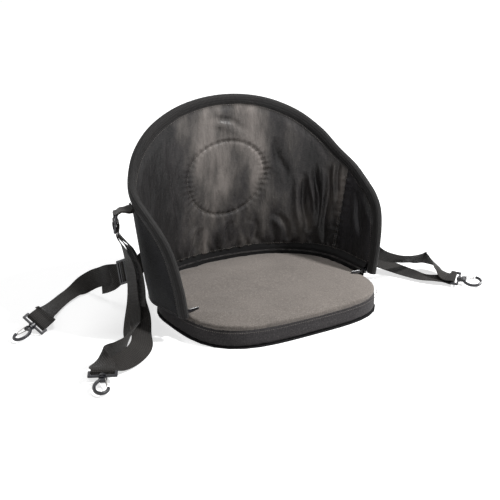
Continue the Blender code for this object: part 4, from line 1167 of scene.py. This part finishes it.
class Surface:
    """A Principled material with a few procedural layers of colour, roughness and bump."""

    def __init__(self, name, roughness, metallic=0.0, sheen=0.0, specular=0.5):
        self.material = bpy.data.materials.new(name)
        self.material.use_nodes = True
        self.tree = self.material.node_tree
        self.shader = self.tree.nodes["Principled BSDF"]
        self.shader.inputs["Roughness"].default_value = roughness
        self.shader.inputs["Metallic"].default_value = metallic
        self.shader.inputs["Sheen Weight"].default_value = sheen
        self.shader.inputs["Sheen Roughness"].default_value = SHEEN_ROUGHNESS
        self.shader.inputs["Specular IOR Level"].default_value = specular
        self.coordinates = self.tree.nodes.new("ShaderNodeTexCoord")
        self.bump = None

    def add(self, kind, inputs, output, **settings):
        """One output of a new node."""
        return make_node(self.tree, kind, inputs, **settings).outputs[output]

    def stretched(self, scale, space="Object"):
        return self.add("Mapping", {"Scale": scale, "Vector": self.coordinates.outputs[space]}, "Vector")

    def noise(self, scale, detail, stretch=(1, 1, 1), roughness=0.55):
        inputs = {"Scale": scale, "Detail": detail, "Roughness": roughness, "Vector": self.stretched(stretch)}
        return self.add("TexNoise", inputs, "Fac")

    def bands(self, scale, direction):
        """Slightly uneven bands over the UV map, which is in metres."""
        inputs = {"Scale": scale, "Distortion": BAND_DISTORTION, "Vector": self.stretched((1, 1, 1), "UV")}
        return self.add("TexWave", inputs, "Fac", wave_type="BANDS", bands_direction=direction)

    def ramp(self, value, stops):
        node = make_node(self.tree, "ValToRGB", {"Fac": value})
        elements = node.color_ramp.elements
        while len(elements) < len(stops):
            elements.new(0.5)
        for element, (place, colour) in zip(elements, stops):
            element.position = place
            element.color = colour
        return node.outputs["Color"]

    def combine(self, first, second, operation):
        return self.add("Math", {0: first, 1: second}, "Value", operation=operation)

    def mix(self, share, first, second):
        """A mix of two colours: the node's inputs 6 and 7 and its output 2 are the ones for colour."""
        return self.add("Mix", {0: share, 6: first, 7: second}, 2, data_type="RGBA")

    def drive(self, name, output):
        self.tree.links.new(output, self.shader.inputs[name])

    def colour(self, output):
        self.drive("Base Color", output)

    def rough(self, value, low, high):
        inputs = {"To Min": low, "To Max": high, "Value": value}
        self.drive("Roughness", self.add("MapRange", inputs, "Result"))

    def raise_by(self, value, distance, strength=1.0):
        inputs = {"Distance": distance, "Strength": strength, "Height": value}
        if self.bump:
            inputs["Normal"] = self.bump
        self.bump = self.add("Bump", inputs, "Normal")
        self.drive("Normal", self.bump)


def canvas(name, colours, roughness, sheen):
    """Plain woven cloth: a fine weave, blotchy colour, lint and a little dust."""
    dark, light, worn = (linear(*colour) for colour in colours)
    surface = Surface(name, roughness, sheen=sheen, specular=0.12)
    blotches = surface.noise(9.0, 5.0)
    specks = surface.noise(420.0, 2.0)
    base = surface.ramp(blotches, [(0.32, dark), (0.68, light)])
    flecked = surface.ramp(specks, [(0.35, dark), (0.52, light), (0.74, worn)])
    surface.colour(surface.mix(0.45, base, flecked))
    warp = surface.noise(WEAVE_SCALE, 1.0, stretch=(1.0, 0.22, 0.22))
    weft = surface.noise(WEAVE_SCALE, 1.0, stretch=(0.22, 1.0, 1.0))
    surface.raise_by(surface.combine(warp, weft, "ADD"), WEAVE_DEPTH)
    surface.raise_by(specks, WEAVE_DEPTH * 1.6, 0.8)
    surface.raise_by(surface.noise(55.0, 3.0), 0.001, 0.35)
    surface.rough(blotches, roughness - 0.08, roughness + 0.08)
    return surface.material


def satin(name, stops, shaded=None):
    """Thin shiny nylon: soft creases with streaks of painted gloss and painted shade in its colour, over a
    tight weave of fine ribs.

    Where shaded gives two X places, painted shade dims the painted gloss from the second place to the first.
    """
    surface = Surface(name, 0.40, sheen=0.03, specular=0.26)
    streaks = surface.noise(24.0, 6.0, stretch=(1.0, 0.7, 0.34), roughness=0.58)
    broad = surface.noise(11.0, 2.0, stretch=(1.0, 1.0, 0.30))
    # Painted gloss and painted shade: streaks that set the colour light and dark down the creases
    gloss = surface.combine(surface.combine(streaks, broad, "ADD"), 0.5, "MULTIPLY")
    # Painted shade: the colour darkens from the second X place to the first
    if shaded:
        across = surface.add("SeparateXYZ", {"Vector": surface.coordinates.outputs["Object"]}, "X")
        inputs = {"From Min": shaded[0], "From Max": shaded[1], "To Min": -PAINTED_SHADE_DEPTH, "To Max": 0.0}
        fade = surface.add("MapRange", {**inputs, "Value": across}, "Result")
        gloss = surface.combine(gloss, fade, "ADD")
    threads = surface.noise(700.0, 1.0, stretch=(0.3, 0.3, 2.0))
    base = surface.ramp(gloss, stops)
    grain = surface.ramp(threads, [(0.35, linear(20, 20, 21)), (0.70, linear(96, 92, 89))])
    surface.colour(surface.mix(0.16, base, grain))
    surface.raise_by(streaks, 0.01, 0.7)
    surface.raise_by(surface.noise(130.0, 3.0, stretch=(1.0, 1.0, 0.25)), 0.0014, 0.4)
    surface.raise_by(threads, 0.00015, 0.6)
    surface.rough(streaks, 0.32, 0.52)
    return surface.material


def ribbed(name, dark, light, pitch, roughness):
    """Woven tape: ribs across it, a row of weave along it, and worn high threads."""
    dark, light = linear(*dark), linear(*light)
    surface = Surface(name, roughness, sheen=0.08, specular=0.16)
    scale = 2 * math.pi / pitch / 20
    ribs = surface.bands(scale, "X")
    weave = surface.combine(ribs, surface.bands(scale * 0.8, "Y"), "MULTIPLY")
    blotches = surface.noise(14.0, 5.0)
    lint = surface.noise(600.0, 2.0)
    woven = surface.ramp(weave, [(0.1, dark), (0.9, light)])
    worn = surface.ramp(blotches, [(0.3, dark), (0.7, light)])
    shade = surface.mix(0.5, woven, worn)
    surface.colour(surface.mix(0.25, shade, surface.ramp(lint, [(0.4, dark), (0.7, light)])))
    surface.raise_by(weave, 0.0005)
    surface.raise_by(ribs, 0.0004, 0.7)
    surface.raise_by(lint, 0.0002, 0.6)
    return surface.material


def moulded(name, dark, light, roughness):
    """Moulded plastic: fine texture and faint flow marks."""
    dark, light = linear(*dark), linear(*light)
    surface = Surface(name, roughness)
    marks = surface.noise(60.0, 5.0)
    surface.colour(surface.ramp(marks, [(0.35, dark), (0.72, light)]))
    surface.raise_by(surface.noise(1400.0, 2.0), 0.00008, 0.7)
    surface.raise_by(surface.noise(160.0, 3.0), 0.0003, 0.25)
    surface.rough(marks, roughness - 0.08, roughness + 0.14)
    return surface.material


def bright_wire(name):
    """Bright steel wire with scratches along it."""
    surface = Surface(name, 0.25, metallic=1.0)
    scratches = surface.noise(300.0, 3.0, stretch=(1, 1, 6))
    surface.colour(surface.ramp(scratches, [(0.3, linear(150, 148, 145)), (0.7, linear(205, 203, 200))]))
    surface.rough(scratches, 0.18, 0.36)
    return surface.material


# Painted light: a lit and a shaded copy of the one satin, the shaded one darkening the wing panels as painted
# shade
PAINTED_LIT_SATIN = [
    (0.41, linear(12, 12, 14)),
    (0.47, linear(38, 36, 37)),
    (0.53, linear(66, 63, 61)),
    (0.64, linear(118, 112, 108)),
]
PAINTED_SHADED_SATIN = [(0.40, linear(10, 10, 12)), (0.52, linear(22, 22, 26)), (0.64, linear(42, 41, 45))]


def make_materials():
    """Colours are as seen on screen: dark and light, and for canvas the worn threads too."""
    outer = ((15, 15, 17), (25, 25, 28), (46, 45, 45))
    # Painted light: the pad's top is painted far lighter than its band, for light falling on it from above
    pad_top = ((92, 87, 83), (112, 106, 101), (150, 142, 135))
    pad_band = ((44, 42, 43), (58, 56, 57), (88, 84, 83))
    base = ((14, 14, 16), (22, 22, 24), (36, 35, 35))
    thread = ((78, 74, 71), (104, 99, 94), (132, 126, 120))
    return {
        # The centre's satin has painted shade towards its left, between X -0.06 and -0.16
        "lining": satin("satin_lining", PAINTED_LIT_SATIN, shaded=(-0.16, -0.06)),
        "shaded_wing_lining": satin("shaded_wing_satin", PAINTED_SHADED_SATIN),
        "outer": canvas("outer_cloth", outer, 0.76, 0.05),
        "pad_top": canvas("painted_lit_pad_top_cloth", pad_top, 0.86, 0.12),
        "pad_band": canvas("pad_band_cloth", pad_band, 0.82, 0.08),
        "base": canvas("base_cloth", base, 0.85, 0.05),
        "binding": ribbed("binding_tape", (14, 14, 15), (44, 42, 41), 0.0022, 0.66),
        "webbing": ribbed("webbing", (18, 17, 17), (54, 51, 48), 0.0026, 0.62),
        "tape": ribbed("zip_tape", (14, 14, 15), (32, 31, 31), 0.0016, 0.75),
        "teeth": moulded("zip_teeth", (44, 43, 43), (84, 81, 79), 0.38),
        "thread": canvas("stitch_thread", thread, 0.6, 0.2),
        "plastic": moulded("black_plastic", (16, 16, 20), (30, 30, 37), 0.30),
        "steel": bright_wire("steel_wire"),
    }


def dress_nodes(materials):
    """Gives the rigid pieces and plain tapes that show as they are their own materials."""
    for name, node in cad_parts.items():
        if name.startswith(("hook_", "ladder_lock", "zip_slider", "zip_pull")):
            kind = "plastic"
        elif name.startswith("wire_gate"):
            kind = "steel"
        elif name.endswith("zip_tape"):
            kind = "tape"
        elif name == "seat_underside_panel":
            kind = "base"
        else:
            continue
        node.data.materials.clear()
        node.data.materials.append(materials[kind])
        node.data.shade_smooth()
        node.data.set_sharp_from_angle(angle=math.radians(32))


def area_light(name, place, target, size, power):
    data = bpy.data.lights.new(name, "AREA")
    data.shape = "DISK"
    data.size = size
    data.energy = power
    lamp = new_object(name, data)
    lamp.location = place
    lamp.rotation_euler = (Vector(target) - Vector(place)).to_track_quat("-Z", "Y").to_euler()


def seen_directly(tree):
    """1 for camera, glossy and transmission rays."""
    path = tree.nodes.new("ShaderNodeLightPath")
    either = path.outputs["Is Camera Ray"]
    for name in ("Is Glossy Ray", "Is Transmission Ray"):
        inputs = {0: either, 1: path.outputs[name]}
        either = make_node(tree, "Math", inputs, operation="MAXIMUM").outputs["Value"]
    return either


def make_floor():
    """A white floor that keeps the shadow, and glows more the farther it is from the seat."""
    build = bmesh.new()
    bmesh.ops.create_grid(build, x_segments=1, y_segments=1, size=FLOOR_REACH)
    mesh = finished_mesh(build, "floor")
    floor = new_object("floor", mesh)
    floor.location.z = -FLOOR_DROP
    surface = Surface("floor", 0.9, specular=0.1)
    surface.shader.inputs["Base Color"].default_value = (FLOOR_PALENESS, FLOOR_PALENESS, FLOOR_PALENESS, 1.0)
    surface.shader.inputs["Emission Color"].default_value = WHITE
    place = surface.coordinates.outputs["Object"]
    distance = surface.add("VectorMath", {0: place}, "Value", operation="LENGTH")
    inputs = {"From Min": GLOW_FROM, "From Max": GLOW_TO, "To Min": NEAR_GLOW, "To Max": FAR_GLOW}
    glow = surface.add("MapRange", {**inputs, "Value": distance}, "Result")
    surface.drive("Emission Strength", surface.combine(seen_directly(surface.tree), glow, "MULTIPLY"))
    mesh.materials.append(surface.material)


def make_studio():
    """The floor, a white surround for what the camera and gloss see, and soft lamps."""
    scene = bpy.context.scene
    scene.view_settings.view_transform = "Standard"
    make_floor()
    world = bpy.data.worlds.new("studio")
    world.use_nodes = True
    scene.world = world
    background = world.node_tree.nodes["Background"]
    background.inputs["Color"].default_value = WHITE
    inputs = {"To Min": SKY_STRENGTH, "To Max": 1.0, "Value": seen_directly(world.node_tree)}
    strength = make_node(world.node_tree, "MapRange", inputs).outputs["Result"]
    world.node_tree.links.new(strength, background.inputs["Strength"])
    for lamp in LAMPS:
        area_light(*lamp)


make_camera()
MATERIALS = make_materials()
make_straps(MATERIALS)
make_lining(MATERIALS)
make_outer_cover(MATERIALS)
make_binding(MATERIALS)
make_back_stitches(MATERIALS)
make_pad(MATERIALS)
make_teeth(MATERIALS)
dress_nodes(MATERIALS)
make_studio()
